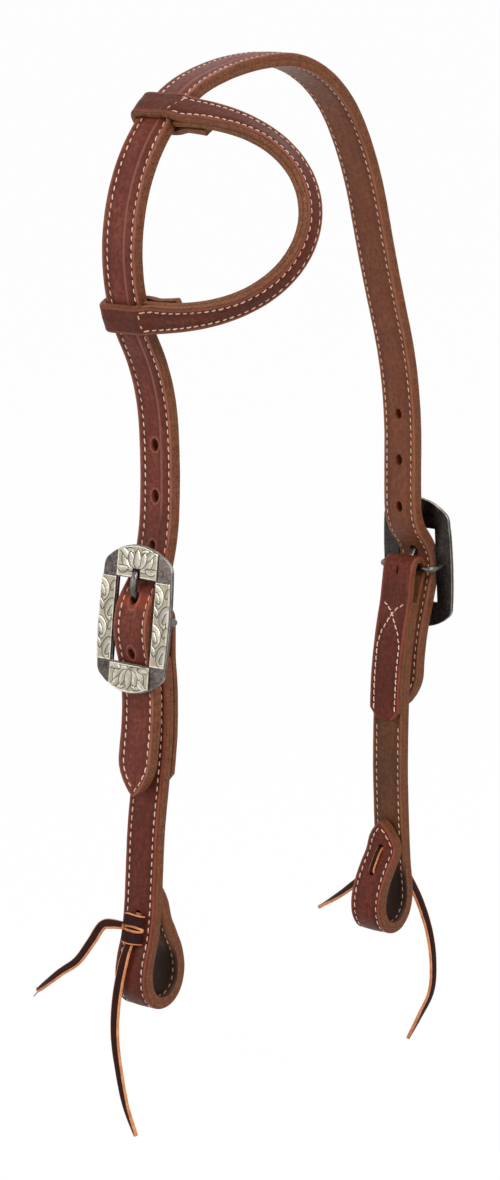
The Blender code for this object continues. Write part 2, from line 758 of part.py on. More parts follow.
def lace_frames(path, front, side):
    """For each lace hole: the strap's middle there, the way out, and how far behind the tab lies."""
    below = (front[-1][0] + LOOP_SHARES[0][0] * LOOP_WIDTH, -side.drop - LOOP_SHARES[0][1] * LOOP_HEIGHT)
    line = Path(smooth(front + [below]))
    tab = path.points[path.along > path.length - LOOP_HEIGHT][:, 1:]
    frames = []
    for k in range(2):
        at = line.along[int(np.abs(line.points[:, 1] + side.drop - TIE_RISE + k * TIE_SPAN).argmin())]
        along = line.tangent(at)
        out = np.array([-along[1], along[0]])
        middle = line.at(at)
        gaps = tab - middle
        nearest = gaps[int(np.abs(gaps @ along).argmin())]
        frames.append((np.array([0.0, *middle]), np.array([0.0, *out]), -nearest @ out))
    return frames


def lace_holes(side, frames, parent):
    """Cutter for the two holes that the tie lace passes through, in the strap and in its tab."""
    build = bmesh.new()
    for middle, out, depth in frames:
        along = np.cross(out, ACROSS)
        oval(build, middle - depth / 2 * out, along, ACROSS, out, LACE_HOLE, LACE_WIDTH + 2 * LACE_PLAY,
             depth / 2 + PLY)
    return helper(side.name + "_lace_hole_cutter", build, parent)


def make_cheek(side, parent):
    path, front = cheek_path(side)
    tip = (path.length, TAB_POINT)
    slot = bmesh.new()
    box(slot, (-SLOT_WIDTH / 2, -SLOT_BACK, -SLOT_BELOW), (SLOT_WIDTH / 2, 2 * FOLD_RADIUS, 3 * FOLD_RADIUS))
    slot_cutter = helper(side.name + "_slot_cutter", slot, parent)
    frames = lace_frames(path, front, side)
    holes = lace_holes(side, frames, parent)
    distances = path.stations(0.0, path.length, [TAB_CORNER] + point_places(path.length, TAB_POINT, -1))
    widths = np.minimum(point_widths(distances, (tip,), CHEEK_WIDTH / 2), chape_widths(distances))
    sides = np.tile(ACROSS, (len(distances), 1))
    normals = np.cross(ACROSS, path.tangent(distances))
    build = sweep(path.at(distances), sides, normals, widths, PLY / 2)
    outer = new_object(side.name + "_cheek_outer_ply", build, GRAIN, parent)
    cut(outer, slot_cutter)
    cut(outer, holes)
    inner = path.shifted(ACROSS, -PITCH)
    lining = strap_ply(side.name + "_cheek_lining_ply", inner, 0.0, LINING, front_place(inner), inner.length,
                       ((inner.length, TAB_POINT),), parent, (), CHEEK_WIDTH / 2)
    cut(lining, holes)
    make_tie(side, frames, parent)


def front_place(path):
    """Where the lining starts: on the way down from the fold, at its set distance below the bail."""
    top = int(path.points[:, 2].argmax())
    heights = path.points[top:, 2]
    return path.along[top + int((heights < -LINING_START).argmax())]


def make_tie(side, frames, parent):
    """The lace down the back of the tab with its two ends through the holes, and the knot outside."""
    out = unit(frames[0][1] + frames[1][1])
    rest = PLY / 2 + TIE_REST + LACE_THICKNESS / 2
    ends = [middle + (PLY / 2 - SEAM) * way for middle, way, _ in frames]
    backs = [middle - (depth + rest) * way for middle, way, depth in frames]
    down = unit(backs[1] - backs[0])
    behind = np.cross(ACROSS, down)
    behind = behind if behind @ out < 0 else -behind
    bend = LACE_THICKNESS
    points = [ends[0], backs[0] - bend * behind, backs[0] - 0.3 * bend * (behind - down), backs[0] + bend * down]
    points += [backs[1] - bend * down, backs[1] - 0.3 * bend * (behind + down), backs[1] - bend * behind, ends[1]]
    path = Path(np.array(points))
    sides = np.tile(ACROSS, (len(points), 1))
    normals = np.cross(ACROSS, path.tangents)
    build = sweep(path.points, sides, normals, [LACE_WIDTH / 2] * len(points), LACE_THICKNESS / 2)
    new_object(side.name + "_tie_lace", build, LACE, parent)
    make_knot(side, frames, parent)


def knot_height(across, down):
    """Height of the knot's top, as a share, at places that run from -1 to 1 across and down it."""
    half = 1 - KNOT_WRAP_SHARE
    wraps = max(1 - ((down - centre) / half) ** 2 for centre in (-KNOT_WRAP_SHARE, KNOT_WRAP_SHARE))
    wraps = math.sqrt(max(0.0, wraps)) * (1 - 0.45 * abs(across) ** 3)
    turn = max(0.0, 1 - (across / KNOT_TURN_SHARE) ** 2) * max(0.0, 1 - down**4)
    return max(KNOT_RIM_SHARE, wraps, KNOT_TURN_RISE * math.sqrt(turn))


def make_knot(side, frames, parent):
    """Two wraps of lace side by side on the outer face, and the turn that crosses them."""
    (first, first_out, _), (last, last_out, _) = frames
    out = unit(first_out + last_out)
    down = unit(last - first - (last - first) @ out * out)
    middle = (first + last) / 2 + (PLY / 2 + KNOT_REST) * out
    build = bmesh.new()
    top = []
    base = []
    for i in range(KNOT_ROWS + 1):
        v = 2 * i / KNOT_ROWS - 1
        width = KNOT_WIDTH / 2 * (1 - 0.2 * abs(v) ** 3)
        for j in range(KNOT_ROWS + 1):
            u = 2 * j / KNOT_ROWS - 1
            place = middle + u * width * ACROSS + v * KNOT_LENGTH / 2 * down
            base.append(build.verts.new(place))
            top.append(build.verts.new(place + KNOT_HEIGHT * knot_height(u, v) * out))
    row = KNOT_ROWS + 1
    border = []
    for i in range(KNOT_ROWS):
        for j in range(KNOT_ROWS):
            a = i * row + j
            for grid in (top, base):
                build.faces.new((grid[a], grid[a + 1], grid[a + row + 1], grid[a + row]))
        last_row = KNOT_ROWS * row
        border += [(i, i + 1), (last_row + i, last_row + i + 1)]
        border += [(i * row, (i + 1) * row), (i * row + KNOT_ROWS, (i + 1) * row + KNOT_ROWS)]
    for a, b in border:
        build.faces.new((top[a], top[b], base[b], base[a]))
    bmesh.ops.recalc_face_normals(build, faces=build.faces)
    new_object(side.name + "_tie_knot", build, LACE, parent)


def make_tail(name, route):
    """A free end of the lace: a flat strip along its hand-laid route, drawn out at its tip."""
    path = Path(smooth(route))
    distances = path.stations(0.0, path.length)
    tangents = path.tangent(distances)
    outward = np.tile([0.0, math.copysign(1.0, route[0][1]), 0.0], (len(distances), 1))
    across = unit(np.cross(tangents, outward))
    normals = np.cross(across, tangents)
    shares = distances / path.length
    widths = TAIL_WIDTH / 2 * np.interp(shares, (0.0, 0.15, 0.7, 1.0), (0.7, 1.0, 0.9, 0.35))
    build = sweep(path.at(distances), across, normals, widths, TAIL_THICKNESS / 2)
    new_object(name, build, LACE)


def hoop_frame():
    """Ends, middle and directions of the ear hoop's plane, from the two slide loops' places."""
    centre, radius = ear_circle()
    reach = radius + PITCH / 2
    ends = []
    for angle in (EAR_TOP_ANGLE, EAR_LOW_ANGLE):
        a = math.radians(angle)
        ends.append(np.array([0.0, centre[0] + reach * math.cos(a), centre[1] + reach * math.sin(a)]))
    middle = (ends[0] + ends[1]) / 2
    up = unit(ends[0] - ends[1])
    out = np.cross(ACROSS, up)
    out = out if out[1] < 0 else -out
    half_chord = np.linalg.norm(ends[0] - ends[1]) / 2
    return middle, up, out, half_chord


def hoop_stations():
    """The hoop between its two plies: places, ways across the band, ways out, and share of full width."""
    middle, up, out, half_chord = hoop_frame()
    places = []
    for k in range(361):
        angle = math.radians(90 - k / 2)
        x = HOOP_REACH * max(0.0, math.cos(angle)) ** (2 / HOOP_FULLNESS)
        if x >= HOOP_START:
            places.append(middle + x * ACROSS + half_chord * math.sin(angle) * up)
    path = Path(np.array(places))
    distances = np.linspace(0.0, path.length, HOOP_STATIONS)
    tangents = path.tangent(distances)
    middles = 1 - np.abs(2 * distances / path.length - 1)
    twists = np.radians(np.interp(middles, np.linspace(0, 1, len(HOOP_TWISTS)), HOOP_TWISTS))[:, None]
    outward = np.cross(np.tile(out, (HOOP_STATIONS, 1)), tangents)
    outward = -outward if outward[HOOP_STATIONS // 2] @ ACROSS < 0 else outward
    normals = np.cos(twists) * outward + np.sin(twists) * out
    sides = np.cross(normals, tangents)
    widths = HOOP_WIDTH / 2 + (SLIDE_WIDTH - HOOP_WIDTH) / 2 * (1 - middles) ** 3
    return path.at(distances), sides, normals, widths


def slide_points():
    """The outer ply round the crown at a slide loop, as (x, out of the crown) pairs in order."""
    half = STRAP_WIDTH / 2
    _, radius = ear_circle()
    sag = (SLIDE_WIDTH / 2) ** 2 / (2 * (radius - HALF_STACK))
    face = HALF_STACK + SLIDE_PLAY + PLY / 2
    back = face + sag
    side = half + SLIDE_PLAY + PLY / 2
    near = 0.3 * PLY
    far = 1.2 * PLY
    points = [(half, -back), (0.0, -back), (-half, -back), (-side + near, -back + near), (-side, -back + far)]
    return points + [(-side, face - far), (-side + near, face - near), (-half, face), (0.0, face), (half, face)]


def slide_loop(angle, place, normal):
    """Round the crown at one angle, from behind the hoop's end to its face, as a strip's stations."""
    centre, radius = ear_circle()
    turn = math.radians(angle)
    radial = np.array([0.0, math.cos(turn), math.sin(turn)])
    base = np.array([0.0, *centre]) + radius * radial
    start = place - 1.5 * PITCH * normal
    end = place + (0.5 * PITCH + HOOP_PARTING) * normal
    lead = (BOX_END - HOOP_START) / 2 * ACROSS
    points = [start + lead, start] + [base + x * ACROSS + r * radial for x, r in slide_points()] + [end, end + lead]
    path = Path(smooth(points))
    first = path.nearest(start)
    last = path.nearest(end)
    distances = path.stations(first, last)[1:-1]
    tangents = path.tangent(distances)
    side = np.cross(radial, ACROSS)
    sides = np.tile(side, (len(distances), 1))
    return path.at(distances), sides, np.cross(tangents, sides), np.full(len(distances), SLIDE_WIDTH / 2)


def align(rows, side, normal):
    """Turns a run of stations so that its ways across and out agree with the run it follows."""
    places, sides, normals, widths = rows
    sides = sides * math.copysign(1.0, sides[0] @ side)
    normals = normals * math.copysign(1.0, normals[0] @ normal)
    return places, sides, normals, widths


def make_ear():
    """Outer ply: box, slide loop, hoop, slide loop, box in one strip. Lining: the hoop's second layer."""
    places, sides, normals, widths = hoop_stations()
    boxed = int((places[: HOOP_STATIONS // 2, 0] <= BOX_END).sum())
    back = places - 1.5 * PITCH * normals
    face = places + (0.5 * PITCH + HOOP_PARTING) * normals
    full = np.full(boxed, SLIDE_WIDTH / 2)
    top = slide_loop(EAR_TOP_ANGLE, places[0], normals[0])
    low = slide_loop(EAR_LOW_ANGLE, places[-1], normals[-1])
    low = tuple(row[::-1] for row in low)
    runs = [(back[:boxed][::-1], sides[:boxed][::-1], -normals[:boxed][::-1], full)]
    runs.append(align(top, runs[0][1][-1], runs[0][2][-1]))
    runs.append((face, sides, normals, widths))
    runs.append(align(low, sides[-1], normals[-1]))
    runs.append((back[-boxed:][::-1], sides[-boxed:][::-1], -normals[-boxed:][::-1], full))
    joined = [np.concatenate([run[i] for run in runs]) for i in range(4)]
    new_object("ear_outer_ply", sweep(*joined, PLY / 2), GRAIN)
    start = STRAP_WIDTH / 2 + LINING_GAP
    inner = places - 0.5 * PITCH * normals
    first = inner[:1] - (inner[0][0] - start) * ACROSS
    last = inner[-1:] - (inner[-1][0] - start) * ACROSS
    inner = np.concatenate([first, inner, last])
    sides = np.concatenate([sides[:1], sides, sides[-1:]])
    normals = np.concatenate([normals[:1], normals, normals[-1:]])
    widths = np.concatenate([widths[:1], widths, widths[-1:]])
    new_object("ear_lining_ply", sweep(inner, sides, normals, widths, PLY / 2), LINING)


def make_side(side):
    """Everything that one billet carries: buckle, tongue, cheek, tie and its two tails."""
    frame = pivot(side.name + "_bail_axis", (0.0, *side.bail), (0.0, 0.0, side.turned))
    plate = pivot(side.name + "_plate", (0.0, 0.0, 0.0), (side.tilt, 0.0, 0.0), frame)
    make_plate(side, plate)
    make_overlays(side, plate)
    make_bail(side, plate)
    make_tongue(side, pivot(side.name + "_tongue_axis", (0.0, 0.0, 0.0), (0.0, 0.0, 0.0), plate))
    make_cheek(side, pivot(side.name + "_cheek_axis", (0.0, 0.0, 0.0), (side.lean, 0.0, 0.0), frame))
    for name, route in zip(("short", "long"), side.tails):
        make_tail(f"{side.name}_tie_{name}_tail", route)


def main():
    clear_scene()
    make_crown()
    make_ear()
    for side in SIDES:
        make_side(side)


main()
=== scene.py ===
"""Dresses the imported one-ear headstall: stitched leather, engraved cart buckles and lace ties."""
import math

import bmesh
import bpy
import numpy as np
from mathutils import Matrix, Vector


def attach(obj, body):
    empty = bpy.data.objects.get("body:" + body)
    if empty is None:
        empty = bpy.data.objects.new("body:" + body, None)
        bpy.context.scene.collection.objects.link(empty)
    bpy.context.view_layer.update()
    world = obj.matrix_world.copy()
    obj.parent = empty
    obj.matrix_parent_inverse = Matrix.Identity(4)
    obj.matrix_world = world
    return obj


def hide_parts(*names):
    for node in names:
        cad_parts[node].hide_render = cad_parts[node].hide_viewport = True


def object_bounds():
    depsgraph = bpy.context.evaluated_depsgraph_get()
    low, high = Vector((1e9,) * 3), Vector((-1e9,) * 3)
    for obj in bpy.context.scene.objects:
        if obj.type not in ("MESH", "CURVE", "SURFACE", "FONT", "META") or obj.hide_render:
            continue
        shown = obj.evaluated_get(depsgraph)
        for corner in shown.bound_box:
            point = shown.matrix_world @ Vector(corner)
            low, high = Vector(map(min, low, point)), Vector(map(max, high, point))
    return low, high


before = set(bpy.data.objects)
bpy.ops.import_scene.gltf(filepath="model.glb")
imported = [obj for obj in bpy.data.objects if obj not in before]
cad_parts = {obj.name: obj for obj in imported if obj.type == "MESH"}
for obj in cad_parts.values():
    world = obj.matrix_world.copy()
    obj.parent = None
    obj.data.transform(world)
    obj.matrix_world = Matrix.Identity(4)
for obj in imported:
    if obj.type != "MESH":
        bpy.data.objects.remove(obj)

CAD_BOUNDS = [list(corner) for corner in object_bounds()]

# Leather
STRAP_WIDTH = 0.0197
CHEEK_WIDTH = 0.0189
PLY = 0.0031
SEAM = 0.0002
PITCH = PLY + SEAM
HALF_STACK = PLY + SEAM / 2

# Crown: from its highest point the strap is walked down each side in (length share, turn) moves
CROWN_TOP_SIDE = 0.0049
CROWN_TOP_RISE = 0.0002
NEAR_LENGTH = 0.4106
FAR_LENGTH = 0.3852
NEAR_BEND_SHARES = (
    (0.1256, 16.6), (0.0398, 12.5), (0.3059, 92.7), (0.1009, -27.3), (0.0963, -8.0), (0.0610, -16.6),
    (0.0306, -25.3), (0.0102, 8.1), (0.0431, 44.4), (0.0215, 10.2), (0.0499, -15.6), (0.0534, -11.1),
    (0.0619, 7.7),
)
FAR_BEND_SHARES = (
    (0.1913, -57.7), (0.1166, -15.8), (0.1584, 3.7), (0.1711, -20.2), (0.0722, 2.0), (0.0465, 41.6),
    (0.0158, -2.5), (0.0558, -58.0), (0.0560, -1.0), (0.0600, 14.0), (0.0563, 2.0),
)
EAR_BEND = 2
BILLET_POINT = 0.0165
POINT_SHARES = ((0.0, 0.10), (0.12, 0.33), (0.35, 0.62), (0.60, 0.84), (0.82, 0.96), (1.0, 1.0))
HOLE_WIDTH = 0.0040
HOLE_LENGTH = 0.0056
TONGUE_HOLE_WIDTH = 0.0044
TONGUE_HOLE_LENGTH = 0.0068
HOLE_PITCH = 0.0238
HOLE_LIFT = 0.0032
HOLES_ABOVE = 3
HOLES_BELOW = 1
TONGUE_HOLE_DROP = 0.0006

# Cart buckles, in the plate's own frame: x across, y out from the bail's axis, z up the plate
NEAR_BAIL = (-0.0830, -0.2465)
FAR_BAIL = (0.1200, -0.2550)
NEAR_PLATE_TILT = 7.6
FAR_PLATE_TILT = 4.6
PLATE_WIDTH = 0.0420
PLATE_HEIGHT = 0.0684
PLATE_THICKNESS = 0.0019
PLATE_TOP_RADIUS = 0.0270
PLATE_SIDE_RADIUS = 0.2700
PLATE_CORNER = 0.0060
PLATE_STANDOFF = 0.0100
WINDOW_WIDTH = 0.0224
WINDOW_HEIGHT = 0.0388
WINDOW_DROP = 0.0009
OVERLAY_THICKNESS = 0.0009
OVERLAY_INSET = 0.0005
OVERLAY_GAP = 0.0002
NOTCH_WIDTH = 0.0044
NOTCH_DEPTH = 0.0047
BAIL_ROD = 0.0031
BAIL_SPREAD = 0.0310
BAIL_CORNER = 0.0030
BAIL_FOOT_GAP = 0.0002
TONGUE_EYE_WALL = 0.0014
TONGUE_EYE_WIDTH = 0.0038
TONGUE_ROD = 0.0030
TONGUE_REACH = 0.0222
# Out and up the plate as shares of the tongue's reach, and thickness as a share of its rod
TONGUE_SHARES = (
    (0.108, 0.062, 0.90), (0.270, 0.243, 0.95), (0.423, 0.385, 0.97), (0.545, 0.485, 1.00),
    (0.620, 0.600, 1.08), (0.634, 0.740, 1.16), (0.615, 0.860, 1.15), (0.580, 0.950, 0.98),
    (0.558, 0.990, 0.60),
)
PIN_PLAY = 0.0003

# Cheeks, in the cheek's own frame: y out from the bail's axis, z up
FOLD_RADIUS = 0.00465
FOLD_LEAN = 13.0
TAB_LEAN = 7.0
NEAR_CHEEK_DROP = 0.1400
FAR_CHEEK_DROP = 0.1442
CHEEK_SWAY = 0.0049
# Distance down as a share of the drop, and place out as a share of the sway
FRONT_SHARES = (
    (0.179, -0.45), (0.286, -0.84), (0.386, -1.00), (0.514, -0.86), (0.714, -0.44), (0.857, -0.18),
    (1.000, 0.14),
)
CHAPE_TAB = 0.0770
TAB_PLACES = (0.26, 0.38, 0.52, 0.68, 0.84, 1.0)
TAB_CORNER = 0.0050
CLIP_SHARE = 0.8
LINING_START = 0.0170
LOOP_WIDTH = 0.0267
LOOP_HEIGHT = 0.0435
# The bit loop, from the strap's front round to its tab: across and down as shares of its size
LOOP_SHARES = (
    (0.060, 0.26), (0.146, 0.48), (0.172, 0.65), (0.100, 0.83), (-0.100, 0.965), (-0.345, 1.0),
    (-0.590, 0.955), (-0.775, 0.82), (-0.828, 0.62), (-0.735, 0.40), (-0.570, 0.215),
)
LOOP_TAB = 0.0145
TAB_POINT = 0.0150
CHEEK_TURN = 4.75
LOOP_SHIFT = 0.00375
SHIFT_RISE = 0.0500
SHIFT_LENGTH = 0.0650
SLOT_WIDTH = 0.0050
SLOT_BELOW = 0.0048
SLOT_BACK = 0.0025

# Tie lace
LACE_WIDTH = 0.0030
LACE_THICKNESS = 0.0014
LACE_PLAY = 0.0004
LACE_HOLE = 0.0042
TIE_RISE = 0.0005
TIE_SPAN = 0.0105
TIE_REST = 0.0006
KNOT_REST = 0.0009
KNOT_WIDTH = 0.0125
KNOT_HEIGHT = 0.0046
TAIL_WIDTH = 0.0048
TAIL_THICKNESS = 0.0020
NEAR_SHORT_TAIL = (
    (-0.0067, -0.0984, -0.3908), (-0.0109, -0.0982, -0.3913), (-0.0181, -0.0975, -0.3934),
    (-0.0252, -0.0980, -0.4031), (-0.0332, -0.0990, -0.4138), (-0.0430, -0.0995, -0.4212),
    (-0.0582, -0.0990, -0.4336),
)
NEAR_LONG_TAIL = (
    (-0.0005, -0.0984, -0.3977), (-0.0012, -0.1006, -0.4020), (-0.0030, -0.1028, -0.4129),
    (-0.0054, -0.1036, -0.4283), (-0.0062, -0.1036, -0.4442), (-0.0046, -0.1028, -0.4608),
    (-0.0013, -0.1018, -0.4782), (0.0038, -0.1008, -0.4917),
)
FAR_SHORT_TAIL = (
    (-0.0078, 0.1172, -0.4050), (-0.0125, 0.1188, -0.4108), (-0.0200, 0.1218, -0.4195),
    (-0.0334, 0.1222, -0.4307), (-0.0410, 0.1225, -0.4369), (-0.0486, 0.1230, -0.4424),
    (-0.0561, 0.1225, -0.4476),
)
FAR_LONG_TAIL = (
    (-0.0010, 0.1168, -0.4109), (-0.0002, 0.1208, -0.4160), (0.0012, 0.1262, -0.4245),
    (0.0037, 0.1305, -0.4351), (0.0086, 0.1320, -0.4504), (0.0110, 0.1325, -0.4670),
    (0.0100, 0.1325, -0.4832), (0.0032, 0.1315, -0.4987), (-0.0030, 0.1305, -0.5115),
)

# Ear piece: two slide loops round the crown's near bend, and a hoop that springs from them
EAR_TOP_ANGLE = 129.0
EAR_LOW_ANGLE = 200.6
SLIDE_WIDTH = 0.0138
SLIDE_PLAY = 0.0005
HOOP_WIDTH = 0.0098
HOOP_REACH = 0.0918
HOOP_FULLNESS = 2.4
HOOP_START = 0.0160
HOOP_STATIONS = 49
HOOP_PARTING = 0.0002
BOX_END = 0.0300
LINING_GAP = 0.0012
HOOP_TWISTS = (53.0, 46.0, 28.0, 14.0, 6.0)
HOOP_FINENESS = 361
SLIDE_CORNER_SHARES = (0.3, 1.2)

FINE_STEP = 0.0005
ACROSS = np.array([1.0, 0.0, 0.0])


def unit(vectors):
    return vectors / np.linalg.norm(vectors, axis=-1, keepdims=True)


def square_to(vectors, others):
    """The vectors turned square to the others, each one long."""
    return unit(vectors - (vectors * others).sum(-1, keepdims=True) * others)


def lengths_along(points):
    """How far each point lies along the line through them all."""
    steps = np.linalg.norm(np.diff(points, axis=0), axis=1)
    return np.concatenate([[0.0], np.cumsum(steps)])


def read_at(distances, along, values):
    """Every column of the values, read at other distances."""
    return np.stack([np.interp(distances, along, column) for column in values.T], -1)


def risen(values, start, reach):
    """0 up to the start, 1 from a reach beyond it, and even between."""
    return np.clip((values - start) / reach, 0.0, 1.0)


def within(values, start, end, reach):
    """1 between start and end, down to 0 over a reach inside each."""
    return risen(values, start, reach) * risen(-values, -end, reach)


def walk(start, heading, length, moves):
    """Points and headings, a fine step apart, along arcs of (length share, turn) from start."""
    points = [np.array(start, float)]
    headings = [heading]
    starts = []
    for share, turn in moves:
        starts.append(len(points) - 1)
        count = max(2, round(length * share / FINE_STEP))
        for _ in range(count):
            heading += turn / count / 2
            angle = math.radians(heading)
            step = length * share / count
            points.append(points[-1] + step * np.array([math.cos(angle), math.sin(angle)]))
            heading += turn / count / 2
            headings.append(heading)
    return np.array(points), np.array(headings), starts


class Path:
    """A curve, finely divided, that can be read at any distance along it."""

    def __init__(self, points):
        self.points = np.array(points, float)
        self.along = lengths_along(self.points)
        self.length = self.along[-1]
        self.tangents = unit(np.gradient(self.points, axis=0))

    def at(self, distance):
        return read_at(distance, self.along, self.points)

    def tangent(self, distance):
        return unit(read_at(distance, self.along, self.tangents))

    def nearest(self, point):
        return self.along[int(np.linalg.norm(self.points - np.array(point), axis=1).argmin())]

    def shifted(self, across, distance):
        """The same curve moved sideways by distance, square to it and to the direction across."""
        return Path(self.points + distance * unit(np.cross(across, self.tangents)))


def smooth(points):
    """A smooth curve through a few points, finely divided."""
    points = np.array(points, float)
    knots = np.concatenate([[0.0], np.cumsum(np.sqrt(np.linalg.norm(np.diff(points, axis=0), axis=1)))])
    slopes = np.gradient(points, knots, axis=0)
    found = []
    for i in range(len(points) - 1):
        gap = knots[i + 1] - knots[i]
        count = max(2, int(np.linalg.norm(points[i + 1] - points[i]) / FINE_STEP))
        t = (np.arange(count) / count)[:, None]
        found.append(
            (2 * t**3 - 3 * t**2 + 1) * points[i]
            + (t**3 - 2 * t**2 + t) * gap * slopes[i]
            + (3 * t**2 - 2 * t**3) * points[i + 1]
            + (t**3 - t**2) * gap * slopes[i + 1]
        )
    return np.concatenate(found + [points[-1:]])


def point_widths(distances, tips, full):
    """Half widths along a strap that comes to a point at each of its (place, length) tips."""
    widths = np.full(len(distances), full)
    shares, sizes = zip(*POINT_SHARES)
    for place, length in tips:
        gaps = np.abs(distances - place) / length
        widths = np.minimum(widths, full * np.interp(gaps, shares, sizes))
    return widths


class Side:
    """The near or the far half: which way is outward, where its bail lies, and how its pieces hang."""

    def __init__(self, name, outward, bail, tilt, drop, tails):
        self.name = name
        self.outward = outward
        self.bail = bail
        self.tilt = tilt
        self.turned = 90.0 * (1 - outward)
        self.lean = -outward * CHEEK_TURN
        self.drop = drop
        self.shift = outward * LOOP_SHIFT
        self.tails = tails


SIDES = (
    Side("near", -1, NEAR_BAIL, NEAR_PLATE_TILT, NEAR_CHEEK_DROP, (NEAR_SHORT_TAIL, NEAR_LONG_TAIL)),
    Side("far", 1, FAR_BAIL, FAR_PLATE_TILT, FAR_CHEEK_DROP, (FAR_SHORT_TAIL, FAR_LONG_TAIL)),
)


def crown_path():
    """The crown's middle line from the near point over the poll to the far point."""
    top = (CROWN_TOP_SIDE, HALF_STACK + CROWN_TOP_RISE)
    near, _, starts = walk(top, 180.0, NEAR_LENGTH, NEAR_BEND_SHARES)
    far, _, _ = walk(top, 0.0, FAR_LENGTH, FAR_BEND_SHARES)
    flat = np.concatenate([near[::-1], far[1:]])
    return Path(np.column_stack([np.zeros(len(flat)), flat])), near, starts


def ear_circle():
    """Centre and radius of the crown's bend under the ear piece, from the walk that makes it."""
    _, near, starts = crown_path()
    share, turn = NEAR_BEND_SHARES[EAR_BEND]
    radius = NEAR_LENGTH * share / math.radians(turn)
    first = near[starts[EAR_BEND]]
    heading = math.radians(180.0 + sum(move[1] for move in NEAR_BEND_SHARES[:EAR_BEND]))
    return first + radius * np.array([-math.sin(heading), math.cos(heading)]), radius


def tongue_hole(path, side):
    """Where along the crown the tongue of that side's buckle passes through."""
    tilt = math.radians(side.tilt)
    best = None
    for out_share, up_share, _ in TONGUE_SHARES:
        out = TONGUE_REACH * (out_share * math.cos(tilt) - up_share * math.sin(tilt))
        up = TONGUE_REACH * (out_share * math.sin(tilt) + up_share * math.cos(tilt))
        place = np.array([0.0, side.bail[0] + side.outward * out, side.bail[1] + up])
        gap = np.linalg.norm(path.points - place, axis=1).min()
        if best is None or gap < best[0]:
            best = gap, path.nearest(place)
    return best[1]


def arc_points(centre, radius, start, end, count):
    angles = [math.radians(start + (end - start) * k / count) for k in range(count + 1)]
    return [(centre[0] + radius * math.cos(a), centre[1] + radius * math.sin(a)) for a in angles]


def plate_outline(inset=0.0):
    """The plate's outline: a shallow arc above and below, long arcs at the sides, round corners."""
    half_height = PLATE_HEIGHT / 2 - inset
    half_width = PLATE_WIDTH / 2 - inset
    top_radius = PLATE_TOP_RADIUS - inset
    side_radius = PLATE_SIDE_RADIUS - inset
    corner = PLATE_CORNER - inset
    top_centre = (0.0, half_height - top_radius)
    side_centre = (half_width - side_radius, 0.0)
    # The corner's centre lies one corner radius inside both arcs
    reach_top = top_radius - corner
    reach_side = side_radius - corner
    gap = math.hypot(top_centre[0] - side_centre[0], top_centre[1] - side_centre[1])
    along = (reach_side**2 - reach_top**2 + gap**2) / (2 * gap)
    off = math.sqrt(reach_side**2 - along**2)
    ux = (top_centre[0] - side_centre[0]) / gap
    uz = (top_centre[1] - side_centre[1]) / gap
    centre = (side_centre[0] + along * ux - off * uz, side_centre[1] + along * uz + off * ux)
    if centre[0] < 0:
        centre = (side_centre[0] + along * ux + off * uz, side_centre[1] + along * uz - off * ux)
    top_angle = math.degrees(math.atan2(centre[1] - top_centre[1], centre[0] - top_centre[0]))
    side_angle = math.degrees(math.atan2(centre[1] - side_centre[1], centre[0] - side_centre[0]))
    quarter = arc_points(side_centre, side_radius, 0.0, side_angle, 3)
    quarter += arc_points(centre, corner, side_angle, top_angle, 5)[1:]
    quarter += arc_points(top_centre, top_radius, top_angle, 90.0, 5)[1:]
    right = quarter + [(-x, z) for x, z in quarter[-2::-1]]
    return right + [(x, -z) for x, z in right[-2:0:-1]]


def window_bounds():
    half = WINDOW_WIDTH / 2
    return -half, half, -WINDOW_DROP - WINDOW_HEIGHT / 2, -WINDOW_DROP + WINDOW_HEIGHT / 2


def overlay_regions(side):
    """Name and bounds of each bright overlay: above, below, and down the two sides of the window."""
    left, right, low, high = window_bounds()
    edge = OVERLAY_INSET
    wide = PLATE_WIDTH
    tall = PLATE_HEIGHT
    # The near plate is turned half round, so that its front edge lies at the lower x
    lower, upper = ("front", "rear") if side.outward < 0 else ("rear", "front")
    return (
        ("top", left - edge, right + edge, high + edge, tall),
        ("bottom", left - edge, right + edge, -tall, low - edge),
        (upper, right + edge, wide, low, high),
        (lower, -wide, left - edge, low, high),
    )


def clip(points, x0, x1, z0, z1):
    """The part of a convex outline that lies inside the bounds."""
    for axis, limit, sign in ((0, x0, 1), (0, x1, -1), (1, z0, 1), (1, z1, -1)):
        kept = []
        for first, second in zip(points, points[1:] + points[:1]):
            a = sign * (first[axis] - limit)
            b = sign * (second[axis] - limit)
            if a >= 0:
                kept.append(first)
            if a * b < 0:
                share = a / (a - b)
                kept.append(tuple(p + share * (q - p) for p, q in zip(first, second)))
        points = kept
    return points


def loop_shift(down, side):
    """How far out the strap lies, at a distance down, from where a straight lie would put it."""
    share = min(1.0, max(0.0, (down - side.drop + SHIFT_RISE) / SHIFT_LENGTH))
    return side.shift * share * share * (3 - 2 * share)


def cheek_front(side):
    """Middle of the cheek's outer ply down its front, from the fold to the bit loop."""
    centre = BAIL_ROD / 2 + PIN_PLAY + PLY / 2 - FOLD_RADIUS
    lean = math.radians(-FOLD_LEAN)
    first = (centre + FOLD_RADIUS * math.cos(lean), FOLD_RADIUS * math.sin(lean))
    points = [first]
    halfway = FRONT_SHARES[0][0] * side.drop / 2
    points.append((first[0] - (halfway + first[1]) * math.tan(-lean), -halfway))
    for down, out in FRONT_SHARES:
        points.append((out * CHEEK_SWAY + loop_shift(down * side.drop, side), -down * side.drop))
    return points


def beside(front, down, distance):
    """A point at that distance behind the front line, square to it, at a distance down."""
    path = Path(smooth(front))
    at = path.along[int(np.abs(path.points[:, 1] + down).argmin())]
    along = path.tangent(at)
    return path.at(at) + distance * np.array([along[1], -along[0]])


